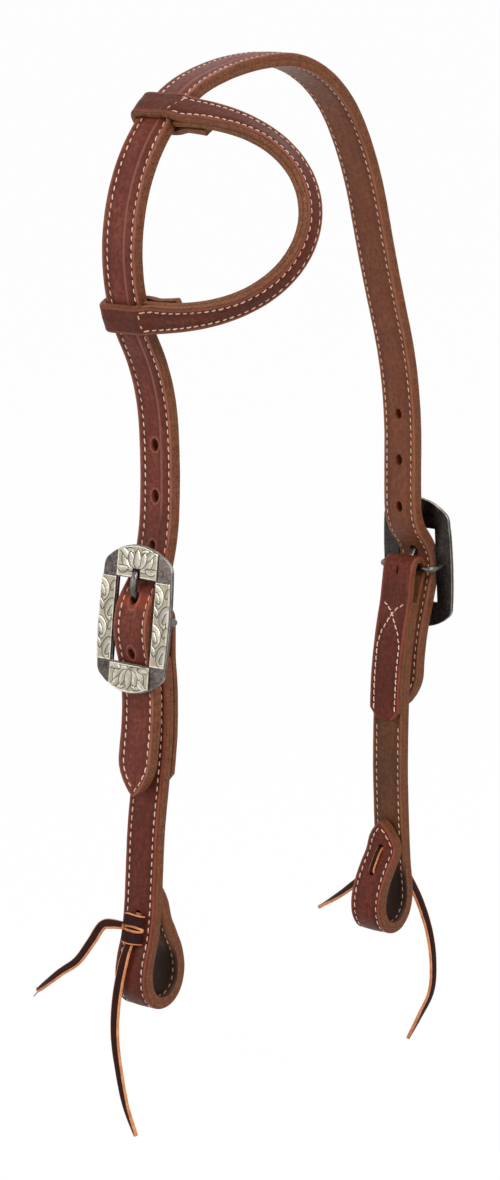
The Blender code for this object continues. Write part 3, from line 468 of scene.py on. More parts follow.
def cheek_path(side):
    """Middle of the outer ply: chape tab, fold, front, bit loop, and up its pointed tab."""
    front = cheek_front(side)
    tab = [beside(front, place * CHAPE_TAB, 2 * PITCH) for place in TAB_PLACES]
    centre = BAIL_ROD / 2 + PIN_PLAY + PLY / 2 - FOLD_RADIUS
    fold = arc_points((centre, 0.0), FOLD_RADIUS, 180.0 - TAB_LEAN, -FOLD_LEAN, 6)
    start = front[-1][0] - loop_shift(side.drop, side)
    loop = []
    for across, down in LOOP_SHARES:
        depth = side.drop + down * LOOP_HEIGHT
        loop.append((start + across * LOOP_WIDTH + loop_shift(depth, side), -depth))
    end = [beside(front, side.drop - share * LOOP_TAB, 3 * PITCH + TIE_REST) for share in (0.0, 0.5, 1.0)]
    points = [tuple(p) for p in tab[::-1]] + fold + front[1:] + loop + [tuple(p) for p in end]
    flat = smooth(points)
    return Path(np.column_stack([np.zeros(len(flat)), flat])), front


def chape_widths(distances):
    """Half widths of the outer ply: clipped corners at the chape tab's end."""
    return CHEEK_WIDTH / 2 - CLIP_SHARE * np.clip(TAB_CORNER - distances, 0.0, TAB_CORNER)


def lace_frames(path, front, side):
    """For each lace hole: the strap's middle there, the way out, and how far behind the tab lies."""
    below = (front[-1][0] + LOOP_SHARES[0][0] * LOOP_WIDTH, -side.drop - LOOP_SHARES[0][1] * LOOP_HEIGHT)
    line = Path(smooth(front + [below]))
    tab = path.points[path.along > path.length - LOOP_HEIGHT][:, 1:]
    frames = []
    for k in range(2):
        at = line.along[int(np.abs(line.points[:, 1] + side.drop - TIE_RISE + k * TIE_SPAN).argmin())]
        along = line.tangent(at)
        out = np.array([-along[1], along[0]])
        middle = line.at(at)
        gaps = tab - middle
        nearest = gaps[int(np.abs(gaps @ along).argmin())]
        frames.append((np.array([0.0, *middle]), np.array([0.0, *out]), -nearest @ out))
    return frames


def front_place(path):
    """Where the lining starts: on the way down from the fold, at its set distance below the bail."""
    top = int(path.points[:, 2].argmax())
    heights = path.points[top:, 2]
    return path.along[top + int((heights < -LINING_START).argmax())]


def hoop_frame():
    """Ends, middle and directions of the ear hoop's plane, from the two slide loops' places."""
    centre, radius = ear_circle()
    ends = []
    for angle in (EAR_TOP_ANGLE, EAR_LOW_ANGLE):
        a = math.radians(angle)
        ends.append(np.array([0.0, *(centre + (radius + PITCH / 2) * np.array([math.cos(a), math.sin(a)]))]))
    up = unit(ends[0] - ends[1])
    out = np.cross(ACROSS, up)
    return (ends[0] + ends[1]) / 2, up, out * -math.copysign(1.0, out[1]), np.linalg.norm(ends[0] - ends[1]) / 2


def hoop_stations():
    """The hoop between its two plies: places, ways across the band, ways out, and share of full width."""
    middle, up, out, half_chord = hoop_frame()
    places = []
    for angle in np.radians(np.linspace(90.0, -90.0, HOOP_FINENESS)):
        x = HOOP_REACH * max(0.0, math.cos(angle)) ** (2 / HOOP_FULLNESS)
        if x >= HOOP_START:
            places.append(middle + x * ACROSS + half_chord * math.sin(angle) * up)
    path = Path(np.array(places))
    distances = np.linspace(0.0, path.length, HOOP_STATIONS)
    tangents = path.tangent(distances)
    middles = 1 - np.abs(2 * distances / path.length - 1)
    twists = np.radians(np.interp(middles, np.linspace(0, 1, len(HOOP_TWISTS)), HOOP_TWISTS))[:, None]
    outward = np.cross(np.tile(out, (HOOP_STATIONS, 1)), tangents)
    outward = -outward if outward[HOOP_STATIONS // 2] @ ACROSS < 0 else outward
    normals = np.cos(twists) * outward + np.sin(twists) * out
    sides = np.cross(normals, tangents)
    widths = HOOP_WIDTH / 2 + (SLIDE_WIDTH - HOOP_WIDTH) / 2 * (1 - middles) ** 3
    return path.at(distances), sides, normals, widths


def slide_points():
    """The outer ply round the crown at a slide loop, as (x, out of the crown) pairs in order."""
    half = STRAP_WIDTH / 2
    _, radius = ear_circle()
    sag = (SLIDE_WIDTH / 2) ** 2 / (2 * (radius - HALF_STACK))
    face = HALF_STACK + SLIDE_PLAY + PLY / 2
    back = face + sag
    side = half + SLIDE_PLAY + PLY / 2
    near, far = (share * PLY for share in SLIDE_CORNER_SHARES)
    points = [(half, -back), (0.0, -back), (-half, -back), (-side + near, -back + near), (-side, -back + far)]
    return points + [(-side, face - far), (-side + near, face - near), (-half, face), (0.0, face), (half, face)]


# Leather as it is finished: edges rounded, rows of stitches in grooves, a creased line beside one row
CROWN_INSETS = (0.0036, 0.0022)
CROWN_BACK_INSETS = (0.0022, 0.0028)
CHEEK_INSETS = (0.0028, 0.0028)
HOOP_INSETS = (0.0024, 0.0024)
GROOVE_WIDTH = 0.0017
GROOVE_DEPTH = 0.00040
CREASE_INSET = 0.0066
CREASE_WIDTH = 0.0010
CREASE_DEPTH = 0.00022
CREASE_FADE = 0.008
FACE_ROUND = 0.0014
SEAM_ROUND = 0.00015
CENTRE_RISE = 0.00022
# How far in from the edge the face starts to rise, is fully risen, and its back has its inner points
RISE_START = 0.0056
RISE_FULL = 0.0084
BACK_INSET = 0.0045
# Where a strap narrows, points within this reach of the edge move in by these shares of its half width
CROWD_REACH = 0.0085
CROWD_SHARES = (0.30, 0.64)
WAVE_LENGTH = 0.011
FACE_WAVE = 0.00006
EDGE_WAVE_SHARE = 0.006
# Shares across a groove or crease, and how deep it is there
GROOVE_STEPS = ((-1.0, 0.0), (-0.6, 0.40), (-0.25, 0.90), (0.0, 1.0), (0.25, 0.90), (0.6, 0.40), (1.0, 0.0))
STATION_STEP = 0.0010
EASED_STEP = 0.0006
SMOOTH_ANGLE = 40.0

# Stitches
STITCH_PITCH = 0.0039
CROSS_PITCH = 0.0035
STITCH_LENGTH = 0.0024
THREAD_RADIUS = 0.00032
STITCH_SINK = 0.00022
STITCH_BOW = 0.00062
STITCH_SLANT = 6.0
STITCH_SEED = 11
THREAD_REACH = 0.0008
ROW_ROOM = 0.0002

# Bands of colour on the grain, in from the edge: a place and its reach. The margin band is a painted highlight,
# the valley and channel bands are painted shade, and the band beside the crease line is a painted highlight.
MARGIN_HIGHLIGHT_BAND = (0.0010, 0.0010)
RIM_REACH = 0.0003
CHANNEL_SHADE_REACH = 0.0011
VALLEY_SHADE_BAND = (0.0013, 0.0022)
CREASE_BAND = (0.0007, 0.0008)
CREASE_HIGHLIGHT_BAND = (-0.0003, 0.0010)
# How deep each finish's own roughness is
GRAIN_RELIEF = 0.00018
FIBRE_RELIEF = 0.00026
NAP_RELIEF = 0.00024
STEEL_RELIEF = 0.00008
SILVER_RELIEF = 0.00010
TWIST_RELIEF = 0.00012
LACE_RELIEF = 0.00020

# Crown: reach of each punch, and of the rubbed places at the tongue and under the plate's end
PUNCH_REACH = 0.006
RUB_REACHES = (0.006, 0.004)
RUB_SHARE = 0.36
CREASE_END_SHARE = 0.55

# Cheek: the slit below the fold, the rows' ends, and the crossed stitches under the fold
TAB_CROSS = 0.0315
SLIT_BACK = 0.0090
SLIT_SIZE = (0.0050, 0.0015, 0.0030)
PUNCH_OVERRUN = 0.004
TAB_ROW_FADE = 0.006
FRONT_GROOVE = (0.020, 0.002)
ROW_START = 0.022
LINING_ROW_START = 0.004
LOOP_SHADE = (0.002, 0.008)
# Distance along from the cross, and place across as a share of the half width
CROSS_STEPS = ((-0.016, 1.0), (-0.009, 0.74), (-0.004, 0.33), (0.0, 0.0), (0.003, -0.36), (0.006, -0.95))
CROSS_START = (0.004, 0.97)

# Tie: lace through the strap, and four strips for the knot: down, half width, bow, height, and which way
# the dark face reaches over the strip's edge, or 0 for the lace's pale side
TIE_PROUD = 0.001
TIE_SAGS = (0.0006, -0.0004)
KNOT_TOP = KNOT_HEIGHT - 0.0014
KNOT_LOW = 0.0008
KNOT_STRIPS = (
    (-0.0027, 0.0027, -0.0002, KNOT_TOP, 1), (0.0058, 0.0027, 0.0002, KNOT_TOP, -1),
    (0.0013, 0.0006, -0.0009, KNOT_TOP - 0.0010, 0), (0.0019, 0.0006, 0.0009, KNOT_TOP - 0.0012, 0),
)
KNOT_REACH_SHARE = 0.43
KNOT_LACE = 0.0010
KNOT_STEPS = 33
FIBRE_STEPS = 8

# Ear piece
HOOP_LEAD = 0.0062
HOOP_ROW_FADE = (0.001, 0.002)
HOOP_END_SLANTS = (0.0026, 0.0)
HOOP_EASE = 0.0018
LINING_EASE = 0.0008

# Engraved plates: the border's line and slope, the relief of the leaves, and the graver's lines
ENGRAVING_STEP = 0.00016
PILLOW_REACH = 0.00045
PILLOW_DROP = 0.00038
BORDER_LINE = (0.00065, 0.00010)
BORDER_SLOPE = (0.00055, 0.0003)
FIELD_DROP = 0.00012
LEAF_RISE = 0.00008
CUT_DEPTH = 0.00012
OUTLINE_WIDTH = 0.00017
STROKE_WIDTH = 0.00009
STROKES = (-0.62, -0.25, 0.3, 0.66)
FULL_DOME = 0.0014
LEAF_LEAST = 0.00008
HAIR = 0.000001
PLACES_AT_ONCE = 4000
BLOOM_RISE = 0.0058
BLOOM_DROP = 0.0040
# Leaves of a bloom: aside, up, heading from upright, length, width and curl, as grown on the right
BLOOM_LEAVES = (
    (0.0014, -0.0014, 86, 0.0175, 0.0042, 250), (0.0056, -0.0014, 112, 0.0070, 0.0032, 80),
    (0.0056, 0.0034, 30, 0.0064, 0.0034, -70), (0.0012, -0.0002, 42, 0.0078, 0.0042, 48),
)
BLOOM_HEART = (-0.0004, 0.0086, 0.0042)
# Leaves of a vine: aside, up as a share of the pitch, heading from upright, length as a share, width, curl
VINE_LEAVES = (
    (-0.0023, 0.44, 10, 0.72, 0.0024, 60), (0.0022, -0.06, 26, 1.55, 0.0044, -155),
    (0.0017, 0.14, -34, 0.60, 0.0026, 40),
)
VINE_COUNT = 4
VINE_MARGINS = (0.0014, 0.0016)

# Steel with eased edges
PLATE_EASE = 0.00045
EASED_ANGLE = 35.0
SHARP_ANGLE = 28.0
MERGE_REACH = 0.000002
BROAD_FACE = 0.000004

# The camera that took the photograph
VIEW_TURN = 38.0
VIEW_RISE = 12.0
VIEW_DISTANCE = 1.5
VIEW_NEAREST = 0.05
VIEW_AIM = (-0.0022, -0.0062, -0.2464)
LENS_SHARE = 3142.0 / 1180.0
FLOOR_DROP = 0.060
FLOOR_REACH = 60.0
# The way that the tails' flat sides roughly face, and how far each is turned from it, in degrees
VIEW_WAY = (0.602, -0.771, 0.208)
TAIL_TURNS = {("near", "short"): (-30.0, -38.0), ("near", "long"): (-34.0, -42.0),
              ("far", "short"): (-24.0, -60.0), ("far", "long"): (38.0, 46.0)}
# The short tails start this much further in, inside their knot
TAIL_LEAD = 0.0018
TAIL_STEPS = 110
# Share along a tail, and its width there as a share of the full one
TAIL_SHARES = ((0.0, 0.75), (0.12, 1.0), (0.5, 0.92), (0.9, 0.72), (0.97, 0.62), (1.0, 0.35))
# Loose fibres at the near short tail's end: aside, long and curled by
FRAYED = ((0.0010, 0.0052, 0.0016), (-0.0009, 0.0060, -0.0010), (0.0002, 0.0044, 0.0005))
FIBRE_SIZE = (0.00045, 0.0006)

# Light: name, place, size across, power
LIGHTS = (
    ("key", (1.5, -0.7, 0.9), 0.6, 27.0),
    ("fill", (-0.6, -1.7, 0.4), 1.2, 12.0),
    ("top", (0.1, 0.5, 1.3), 0.8, 10.0),
)
LIGHT_AIM = (0.0, 0.0, -0.24)
ROOM_LIGHT = 0.38
FLOOR_SHADE_SHARE = 0.025
WHITE = (1.0, 1.0, 1.0, 1.0)


def srgb(red, green, blue):
    """A colour as it reads in a picture, from 0 to 255, as linear values."""
    found = []
    for value in (red, green, blue):
        value /= 255.0
        found.append(value / 12.92 if value <= 0.04045 else ((value + 0.055) / 1.055) ** 2.4)
    return (*found, 1.0)


class Socket:
    """A number or colour on its way through a node tree, with the usual signs working on it."""

    def __init__(self, tree, link):
        self.tree = tree
        self.link = link

    def maths(self, operation, *others):
        return self.tree.node("ShaderNodeMath", {"operation": operation}, dict(enumerate((self, *others))))

    def __add__(self, other):
        return self.maths("ADD", other)

    def __sub__(self, other):
        return self.maths("SUBTRACT", other)

    def __rsub__(self, other):
        return self.tree.node("ShaderNodeMath", {"operation": "SUBTRACT"}, {0: other, 1: self})

    def __mul__(self, other):
        return self.maths("MULTIPLY", other)

    def __truediv__(self, other):
        return self.maths("DIVIDE", other)

    def __abs__(self):
        return self.maths("ABSOLUTE")

    __radd__ = __add__
    __rmul__ = __mul__

    def clamped(self):
        return self.maths("MINIMUM", 1.0).maths("MAXIMUM", 0.0)

    def between(self, low, high):
        """0 at low and 1 at high, eased."""
        return self.tree.node(
            "ShaderNodeMapRange", {"interpolation_type": "SMOOTHSTEP"},
            {"Value": self, "From Min": low, "From Max": high, "To Min": 0.0, "To Max": 1.0})

    def near(self, place, reach):
        """1 at the place, down to 0 at the reach to either side."""
        return abs(self - place).between(reach, 0.0)


class Tree:
    """The nodes of a finish, of the room or of the stitches, all added in one way."""

    def __init__(self, group):
        self.group = group

    def node(self, kind, settings=(), inputs=(), output=0):
        made = self.group.nodes.new(kind)
        for key, value in dict(settings).items():
            setattr(made, key, value)
        self.feed(made, inputs)
        return Socket(self, made.outputs[output]) if made.outputs else None

    def feed(self, node, inputs):
        for key, value in dict(inputs).items():
            if isinstance(value, Socket):
                self.group.links.new(value.link, node.inputs[key])
            else:
                node.inputs[key].default_value = value

    def seen_directly(self):
        """1 for what the camera, a shiny surface or glass sees, else 0."""
        kinds = ("Is Camera Ray", "Is Glossy Ray", "Is Transmission Ray")
        camera, glossy, glass = (self.node("ShaderNodeLightPath", output=kind) for kind in kinds)
        return camera.maths("MAXIMUM", glossy).maths("MAXIMUM", glass)


class Finish(Tree):
    """One material and the nodes that make it."""

    def __init__(self, name, **constants):
        self.material = bpy.data.materials.new(name)
        self.material.use_nodes = True
        super().__init__(self.material.node_tree)
        self.shader = self.group.nodes["Principled BSDF"]
        self.set(**constants)

    def set(self, **values):
        self.feed(self.shader, {socket.replace("_", " "): value for socket, value in values.items()})
        return self.material

    def place(self):
        return self.node("ShaderNodeTexCoord", output="Object")

    def uv(self, layer):
        """A UV map and its two parts: across and along a strap, or in from its edge and how far sewn."""
        uv = self.node("ShaderNodeUVMap", {"uv_map": layer})
        return (uv, *[self.node("ShaderNodeSeparateXYZ", (), {0: uv}, k) for k in range(2)])

    def noise(self, vector, scale, detail=3.0, roughness=0.5, distortion=0.0):
        return self.node("ShaderNodeTexNoise", (), {
            "Vector": vector, "Scale": scale, "Detail": detail, "Roughness": roughness,
            "Distortion": distortion})

    def streaks(self, uv, across, along, detail=3.0):
        """Noise drawn out along or across a strap."""
        drawn = self.node("ShaderNodeMapping", (), {"Vector": uv, "Scale": (across, along, 1.0)})
        return self.noise(drawn, 1.0, detail, 0.6)

    def cells(self, vector, scale):
        return self.node("ShaderNodeTexVoronoi", (), {"Vector": vector, "Scale": scale})

    def given(self, name):
        return self.node("ShaderNodeAttribute", {"attribute_name": name}, output="Fac")

    def mix(self, first, second, share):
        return self.node("ShaderNodeMix", {"data_type": "RGBA"}, {0: share, 6: first, 7: second}, 2)

    def bump(self, height, distance, strength=1.0):
        return self.node("ShaderNodeBump", (), {"Height": height, "Distance": distance, "Strength": strength})


def grain_leather(name, dark, middle, light, insets=None, crease=None, rubs=(), holes=(), depth=0.5):
    """Oiled harness leather, grain side: mottled, finely pored, with painted shade in its grooves, a painted
    highlight along its margins and beside the crease, and darker at the rim.
    """
    finish = Finish(name, IOR=1.45, Specular_IOR_Level=0.20)
    place = finish.place()
    uv, across, along = finish.uv("run")
    _, from_edge, sewn = finish.uv("edge")
    blotch = finish.noise(place, 34.0, 4.0, 0.55).between(0.32, 0.68)
    mottle = finish.noise(place, 520.0, 5.0, 0.62).between(0.32, 0.70)
    streaks = finish.streaks(uv, 1300.0, 80.0).between(0.34, 0.68)
    wrinkles = finish.streaks(uv, 170.0, 1300.0).between(0.40, 0.72)
    pores = finish.noise(place, 2600.0, 3.0, 0.6).between(0.34, 0.60)
    cracks = finish.cells(place, 1100.0).between(0.0, 0.55)
    colour = finish.mix(dark, middle, blotch * 0.30 + mottle * 0.30 + streaks * 0.25 + wrinkles * 0.25)
    colour = finish.mix(colour, light, (mottle * blotch) * 0.25 + streaks * mottle * 0.20)
    # Painted highlight: a lighter band along each margin, between the row and the edge, where the rounded
    # margin catches the light.
    colour = finish.mix(colour, light, from_edge.near(*MARGIN_HIGHLIGHT_BAND) * (0.55 + 0.4 * streaks))
    colour = finish.mix(colour, dark, from_edge.between(RIM_REACH, 0.0) * 0.5)
    plus = across.maths("GREATER_THAN", 0.0)

    def beside_rows(shift, reach):
        minus_row, plus_row = (from_edge.near(inset + shift, reach) for inset in insets)
        return minus_row * (1.0 - plus) + plus_row * plus

    # Painted shade in the stitch grooves: the valley beside each row is darkened, and the channel itself more,
    # by the depth share.
    if insets is not None:
        darker = (*(0.5 * value for value in dark[:3]), 1.0)
        colour = finish.mix(colour, dark, beside_rows(*VALLEY_SHADE_BAND) * sewn * 0.5)
        colour = finish.mix(colour, darker, beside_rows(0.0, CHANNEL_SHADE_REACH).clamped() * sewn * depth)
    if crease is not None:
        inset, low, high = crease
        drawn = along.between(low, low + CREASE_FADE) * along.between(high, high - CREASE_FADE) * plus
        # Along the crease: a darker line in it, and beside it a lighter painted highlight where its ridge
        # catches the light.
        for (shift, reach), band_colour, share in ((CREASE_BAND, dark, 0.6), (CREASE_HIGHLIGHT_BAND, srgb(148, 98, 84), 0.75)):
            colour = finish.mix(colour, band_colour, from_edge.near(inset + shift, reach) * drawn * share)
    for middle_of, reach in rubs:
        rubbed = along.near(middle_of, reach) * (0.5 + 0.5 * mottle)
        colour = finish.mix(colour, srgb(158, 66, 36), rubbed * 0.6)
    for middle_of, length, width in holes:
        off = (along - middle_of) / (length / 2)
        aside = across / (width / 2)
        colour = finish.mix(colour, light, (off * off + aside * aside).near(1.75, 0.65) * 0.6)
    colour = finish.mix(colour, dark, (1.0 - pores) * 0.25)
    colour = finish.mix(colour, srgb(26, 14, 9), finish.given("shade") * 0.85)
    height = pores * 0.30 + mottle * 0.25 + cracks * 0.25 + wrinkles * 0.2
    rough = 0.36 + blotch * 0.10 + (1.0 - mottle) * 0.12
    return finish.set(Base_Color=colour, Roughness=rough, Normal=finish.bump(height, GRAIN_RELIEF, 0.55))


def cut_edge(name, dark, light):
    """Slicked edge of a strap: short fibres that run along it, waxed and a little uneven."""
    finish = Finish(name, IOR=1.45, Specular_IOR_Level=0.22)
    place = finish.place()
    uv, _, _ = finish.uv("run")
    fibres = finish.streaks(uv, 3600.0, 420.0, 4.0).between(0.30, 0.70)
    patches = finish.noise(place, 260.0, 5.0, 0.62).between(0.32, 0.68)
    fluff = finish.noise(place, 1500.0, 4.0, 0.75).between(0.40, 0.64)
    colour = finish.mix(dark, light, fibres * 0.22 + patches * 0.18 + fluff * 0.60)
    height = fibres * 0.3 + patches * 0.2 + fluff * 0.5
    rough = 0.50 + patches * 0.16
    return finish.set(Base_Color=colour, Roughness=rough, Normal=finish.bump(height, FIBRE_RELIEF, 0.7))


def flesh_side(name, dark, light):
    """The napped side of the leather: short fibres, dry and matt."""
    finish = Finish(name, IOR=1.4, Specular_IOR_Level=0.12)
    place = finish.place()
    nap = finish.noise(place, 1500.0, 6.0, 0.7, 0.4).between(0.28, 0.72)
    patches = finish.noise(place, 130.0, 4.0, 0.6).between(0.30, 0.70)
    colour = finish.mix(dark, light, nap * 0.5 + patches * 0.5)
    return finish.set(Base_Color=colour, Roughness=0.74 + nap * 0.14, Normal=finish.bump(nap, NAP_RELIEF, 0.8))


def blued_steel(name, dark, light, rough_from=0.28):
    """Blued steel with a dull haze, bright specks, and eased edges painted bright: partly edge wear, partly a
    painted highlight along the rims.
    """
    finish = Finish(name, Metallic=1.0)
    place = finish.place()
    haze = finish.noise(place, 150.0, 5.0, 0.6).between(0.30, 0.70)
    grit = finish.noise(place, 820.0, 5.0, 0.8).between(0.36, 0.68)
    specks = finish.cells(place, 800.0).between(0.20, 0.05)
    colour = finish.mix(dark, light, haze * 0.35 + grit * 0.65)
    colour = finish.mix(colour, srgb(158, 150, 143), specks * grit * 0.8)
    # Eased edges painted lighter: edge wear together with a painted highlight.
    colour = finish.mix(colour, srgb(160, 155, 148), finish.given("worn") * (0.25 + 0.65 * haze))
    rough = rough_from + haze * 0.12 + grit * 0.12
    return finish.set(Base_Color=colour, Roughness=rough, Normal=finish.bump(grit, STEEL_RELIEF, 0.4))


def engraved_metal(name):
    """Bright metal with dark oxide left in the engraver's cuts; each leaf has painted light and shade from one
    side to the other.
    """
    finish = Finish(name, Metallic=1.0)
    place = finish.place()
    cut = finish.given("cut")
    ground = finish.given("ground")
    painted_leaf_light = finish.given("painted_leaf_light")
    stain = finish.noise(place, 260.0, 4.0, 0.6).between(0.35, 0.70)
    fine = finish.noise(place, 2400.0, 3.0, 0.6).between(0.35, 0.70)
    colour = finish.mix(srgb(92, 86, 74), srgb(216, 210, 196), painted_leaf_light)
    colour = finish.mix(colour, srgb(160, 151, 131), ground * 0.85)
    colour = finish.mix(colour, srgb(138, 127, 106), stain * 0.35 + fine * ground * 0.30)
    colour = finish.mix(colour, srgb(46, 39, 28), cut.between(0.12, 0.75) * 0.95)
    rough = 0.24 + stain * 0.10 + ground * 0.12 + cut * 0.12
    relief = finish.bump(fine * ground, SILVER_RELIEF, 0.5)
    return finish.set(Base_Color=colour, Roughness=rough, Normal=relief)


def cotton_thread(name):
    """Twisted cream thread, soiled here and there, and darker by each stitch's own mark: soil, and painted
    shade inside the bit loop.
    """
    finish = Finish(name, Specular_IOR_Level=0.12)
    place = finish.place()
    twist = finish.noise(place, 3000.0, 2.0, 0.5)
    soil_and_shade = finish.noise(place, 90.0, 4.0, 0.6).between(0.36, 0.66)
    colour = finish.mix(srgb(226, 196, 172), srgb(190, 138, 112), soil_and_shade * 0.6 + twist * 0.2)
    # Each stitch's mark darkens it: soil, with painted shade for those inside the bit loop.
    colour = finish.mix(colour, srgb(134, 88, 66), finish.given("soil_and_shade") * 0.75)
    rough = 0.66 + soil_and_shade * 0.1
    return finish.set(Base_Color=colour, Roughness=rough, Normal=finish.bump(twist, TWIST_RELIEF, 0.6))


def lace_leather(name, dark, light):
    """Oiled lace: waxy and finely grained."""
    finish = Finish(name, IOR=1.45, Specular_IOR_Level=0.10)
    place = finish.place()
    blotch = finish.noise(place, 180.0, 4.0, 0.6).between(0.32, 0.68)
    grain = finish.noise(place, 1500.0, 4.0, 0.6).between(0.30, 0.70)
    colour = finish.mix(dark, light, blotch * 0.6 + grain * 0.4)
    rough = 0.40 + blotch * 0.16
    return finish.set(Base_Color=colour, Roughness=rough, Normal=finish.bump(grain, LACE_RELIEF, 0.7))


HOLE_WALL = flesh_side("hole_wall", srgb(84, 36, 20), srgb(132, 66, 40))
CHEEK_GRAIN = grain_leather(
    "cheek_grain", srgb(62, 20, 11), srgb(94, 33, 19), srgb(136, 70, 50), CHEEK_INSETS, depth=0.35)
CHEEK_INNER = grain_leather(
    "cheek_inner_grain", srgb(68, 36, 19), srgb(96, 56, 32), srgb(126, 82, 53), CHEEK_INSETS, depth=0.25)
EAR_GRAIN = grain_leather(
    "ear_grain", srgb(62, 22, 12), srgb(90, 37, 23), srgb(126, 70, 50), HOOP_INSETS, depth=0.25)
EAR_INNER = grain_leather("ear_inner_grain", srgb(84, 48, 30), srgb(114, 70, 46), srgb(142, 96, 66))
EDGE = cut_edge("slicked_edge", srgb(56, 26, 13), srgb(138, 82, 48))
EAR_EDGE = cut_edge("ear_slicked_edge", srgb(72, 36, 20), srgb(152, 98, 66))
FLESH = flesh_side("flesh_side", srgb(84, 46, 26), srgb(126, 80, 50))
STEEL = blued_steel("blued_steel", srgb(40, 36, 35), srgb(122, 112, 107))
# Painted shade: the far plate gets a darker copy of the blued steel, as its face lies in shade.
SHADED_STEEL = blued_steel("aged_steel", srgb(32, 29, 28), srgb(76, 71, 68))
# Painted highlight: the bail and the tongue get a lighter, shinier copy of the blued steel, for the bright look
# of the round rods where they catch the light.
LIT_ROD_STEEL = blued_steel("bare_rod_steel", srgb(62, 60, 58), srgb(132, 128, 122), 0.22)
SILVER = engraved_metal("engraved_metal")
THREAD = cotton_thread("cream_thread")
LACE_FACE = lace_leather("latigo_face", srgb(28, 9, 9), srgb(50, 18, 16))
LACE_EDGE = lace_leather("latigo_edge", srgb(172, 98, 58), srgb(224, 156, 106))


class Run:
    """Stations along a strap: middle of the ply, way across it, way out of its face, and half width."""

    def __init__(self, places, sides, normals, widths):
        self.places = np.array(places, float)
        self.sides = np.array(sides, float)
        self.normals = np.array(normals, float)
        self.widths = np.array(widths, float)
        self.along = lengths_along(self.places)
        self.length = self.along[-1]

    def read(self, distances):
        """The same strap at other distances along it."""
        places, sides, normals = (
            read_at(distances, self.along, values) for values in (self.places, self.sides, self.normals))
        sides = unit(sides)
        return Run(places, sides, square_to(normals, sides), np.interp(distances, self.along, self.widths))

    def fine(self, step=STATION_STEP):
        return self.read(stations(self.length, step))

    def lifted(self, distance):
        return Run(self.places + distance * self.normals, self.sides, self.normals, self.widths)

    def moved(self, lie):
        return Run(lie.place(self.places), lie.way(self.sides), lie.way(self.normals), self.widths)

    def flipped(self):
        """The same stations with the face turned to the other side."""
        return Run(self.places, self.sides, -self.normals, self.widths)

    def line(self, offsets, lifts):
        """Places that far across the strap and out from the middle of the ply."""
        across = np.reshape(offsets, (-1, 1)) * self.sides
        return self.places + across + np.reshape(lifts, (-1, 1)) * self.normals

    def nearest(self, point):
        return self.along[int(np.linalg.norm(self.places - point, axis=1).argmin())]


def stations(length, step=STATION_STEP):
    return np.linspace(0.0, length, max(8, round(length / step) + 1))


def half_section(inset, crease):
    """One half of a ply's outline, from its edge in: distance in, height, groove, crease, rise and part."""
    top = PLY / 2
    half = [(0.0, -top + SEAM_ROUND, 0, 0, 0, "edge")]
    for k in range(7):
        angle = math.radians(15.0 * k)
        inset_here = FACE_ROUND * (1 - math.cos(angle))
        height = top - FACE_ROUND * (1 - math.sin(angle))
        half.append((inset_here, height, 0, 0, 0, "edge" if k < 2 else "face"))
    if inset is not None:
        half += [(inset + step * GROOVE_WIDTH / 2, top, depth, 0, 0, "face") for step, depth in GROOVE_STEPS]
    if crease is not None:
        half += [(crease + step * CREASE_WIDTH / 2, top, 0, depth, 0.5, "face") for step, depth in GROOVE_STEPS]
    else:
        half.append((RISE_START, top, 0, 0, 0.5, "face"))
    return half + [(RISE_FULL, top, 0, 0, 0.95, "face")]


def section(insets, crease):
    """Points round a ply, from one edge over the face to the other and back along the seam."""
    minus, plus = insets or (None, None)
    points = [(1, *row) for row in half_section(plus, crease)]
    points += [(-1, *row) for row in half_section(minus, None)[::-1]]
    under = -(PLY + 0.9 * SEAM) / 2
    corners = ((-1, SEAM_ROUND), (-1, BACK_INSET), (1, BACK_INSET), (1, SEAM_ROUND))
    return points + [(side, inset, under, 0, 0, 0, "back") for side, inset in corners]


def ripple(distances, seed):
    """Small uneven waves along a strap, the same on every run."""
    total = np.zeros(len(distances))
    for k in range(5):
        length = WAVE_LENGTH * 1.9**k
        total += np.sin(distances * 2 * math.pi / length + seed * (k + 1.7)) / 5
    return total


def linked(name, data):
    """A new object in the scene for a mesh, a lamp or the camera."""
    obj = bpy.data.objects.new(name, data)
    bpy.context.scene.collection.objects.link(obj)
    return obj


def mesh_object(name, points, faces, materials, indices=None, layers=(), marks=(), smooth_angle=SMOOTH_ANGLE):
    """A mesh piece with its faces turned outwards, its UV layers and its marks."""
    mesh = bpy.data.meshes.new(name)
    mesh.from_pydata([tuple(p) for p in points], [], [tuple(f) for f in faces])
    for material in materials:
        mesh.materials.append(material)
    if indices is not None:
        mesh.polygons.foreach_set("material_index", np.array(indices, np.int32))
    corners = np.empty(len(mesh.loops), np.int32)
    mesh.loops.foreach_get("vertex_index", corners)
    for layer, values in dict(layers).items():
        mesh.uv_layers.new(name=layer).data.foreach_set("uv", np.reshape(values, (-1, 2))[corners].ravel())
    for mark, values in dict(marks).items():
        mesh.attributes.new(mark, "FLOAT", "POINT").data.foreach_set("value", np.asarray(values, float))
    build = bmesh.new()
    build.from_mesh(mesh)
    bmesh.ops.recalc_face_normals(build, faces=build.faces)
    build.to_mesh(mesh)
    build.free()
    mesh.polygons.foreach_set("use_smooth", [True] * len(mesh.polygons))
    mesh.set_sharp_from_angle(angle=math.radians(smooth_angle))
    return linked(name, mesh)


def tube_faces(count, around):
    """The quads between rings of points, ring after ring, and then the two ends."""
    faces = [(i * around + j, i * around + k, (i + 1) * around + k, (i + 1) * around + j)
             for i in range(count - 1) for j, k in enumerate([*range(1, around), 0])]
    return faces + [list(range(around)), list(range((count - 1) * around, count * around))]


def narrowing(run):
    """How fast a strap narrows or widens along its run."""
    return np.abs(np.gradient(run.widths, run.along + np.arange(len(run.along)) * 1e-9))


def grooved(run):
    """1 where the rows keep to their grooves, 0 where the strap comes to a point."""
    return np.clip(1 - 1.6 * narrowing(run), 0, 1)


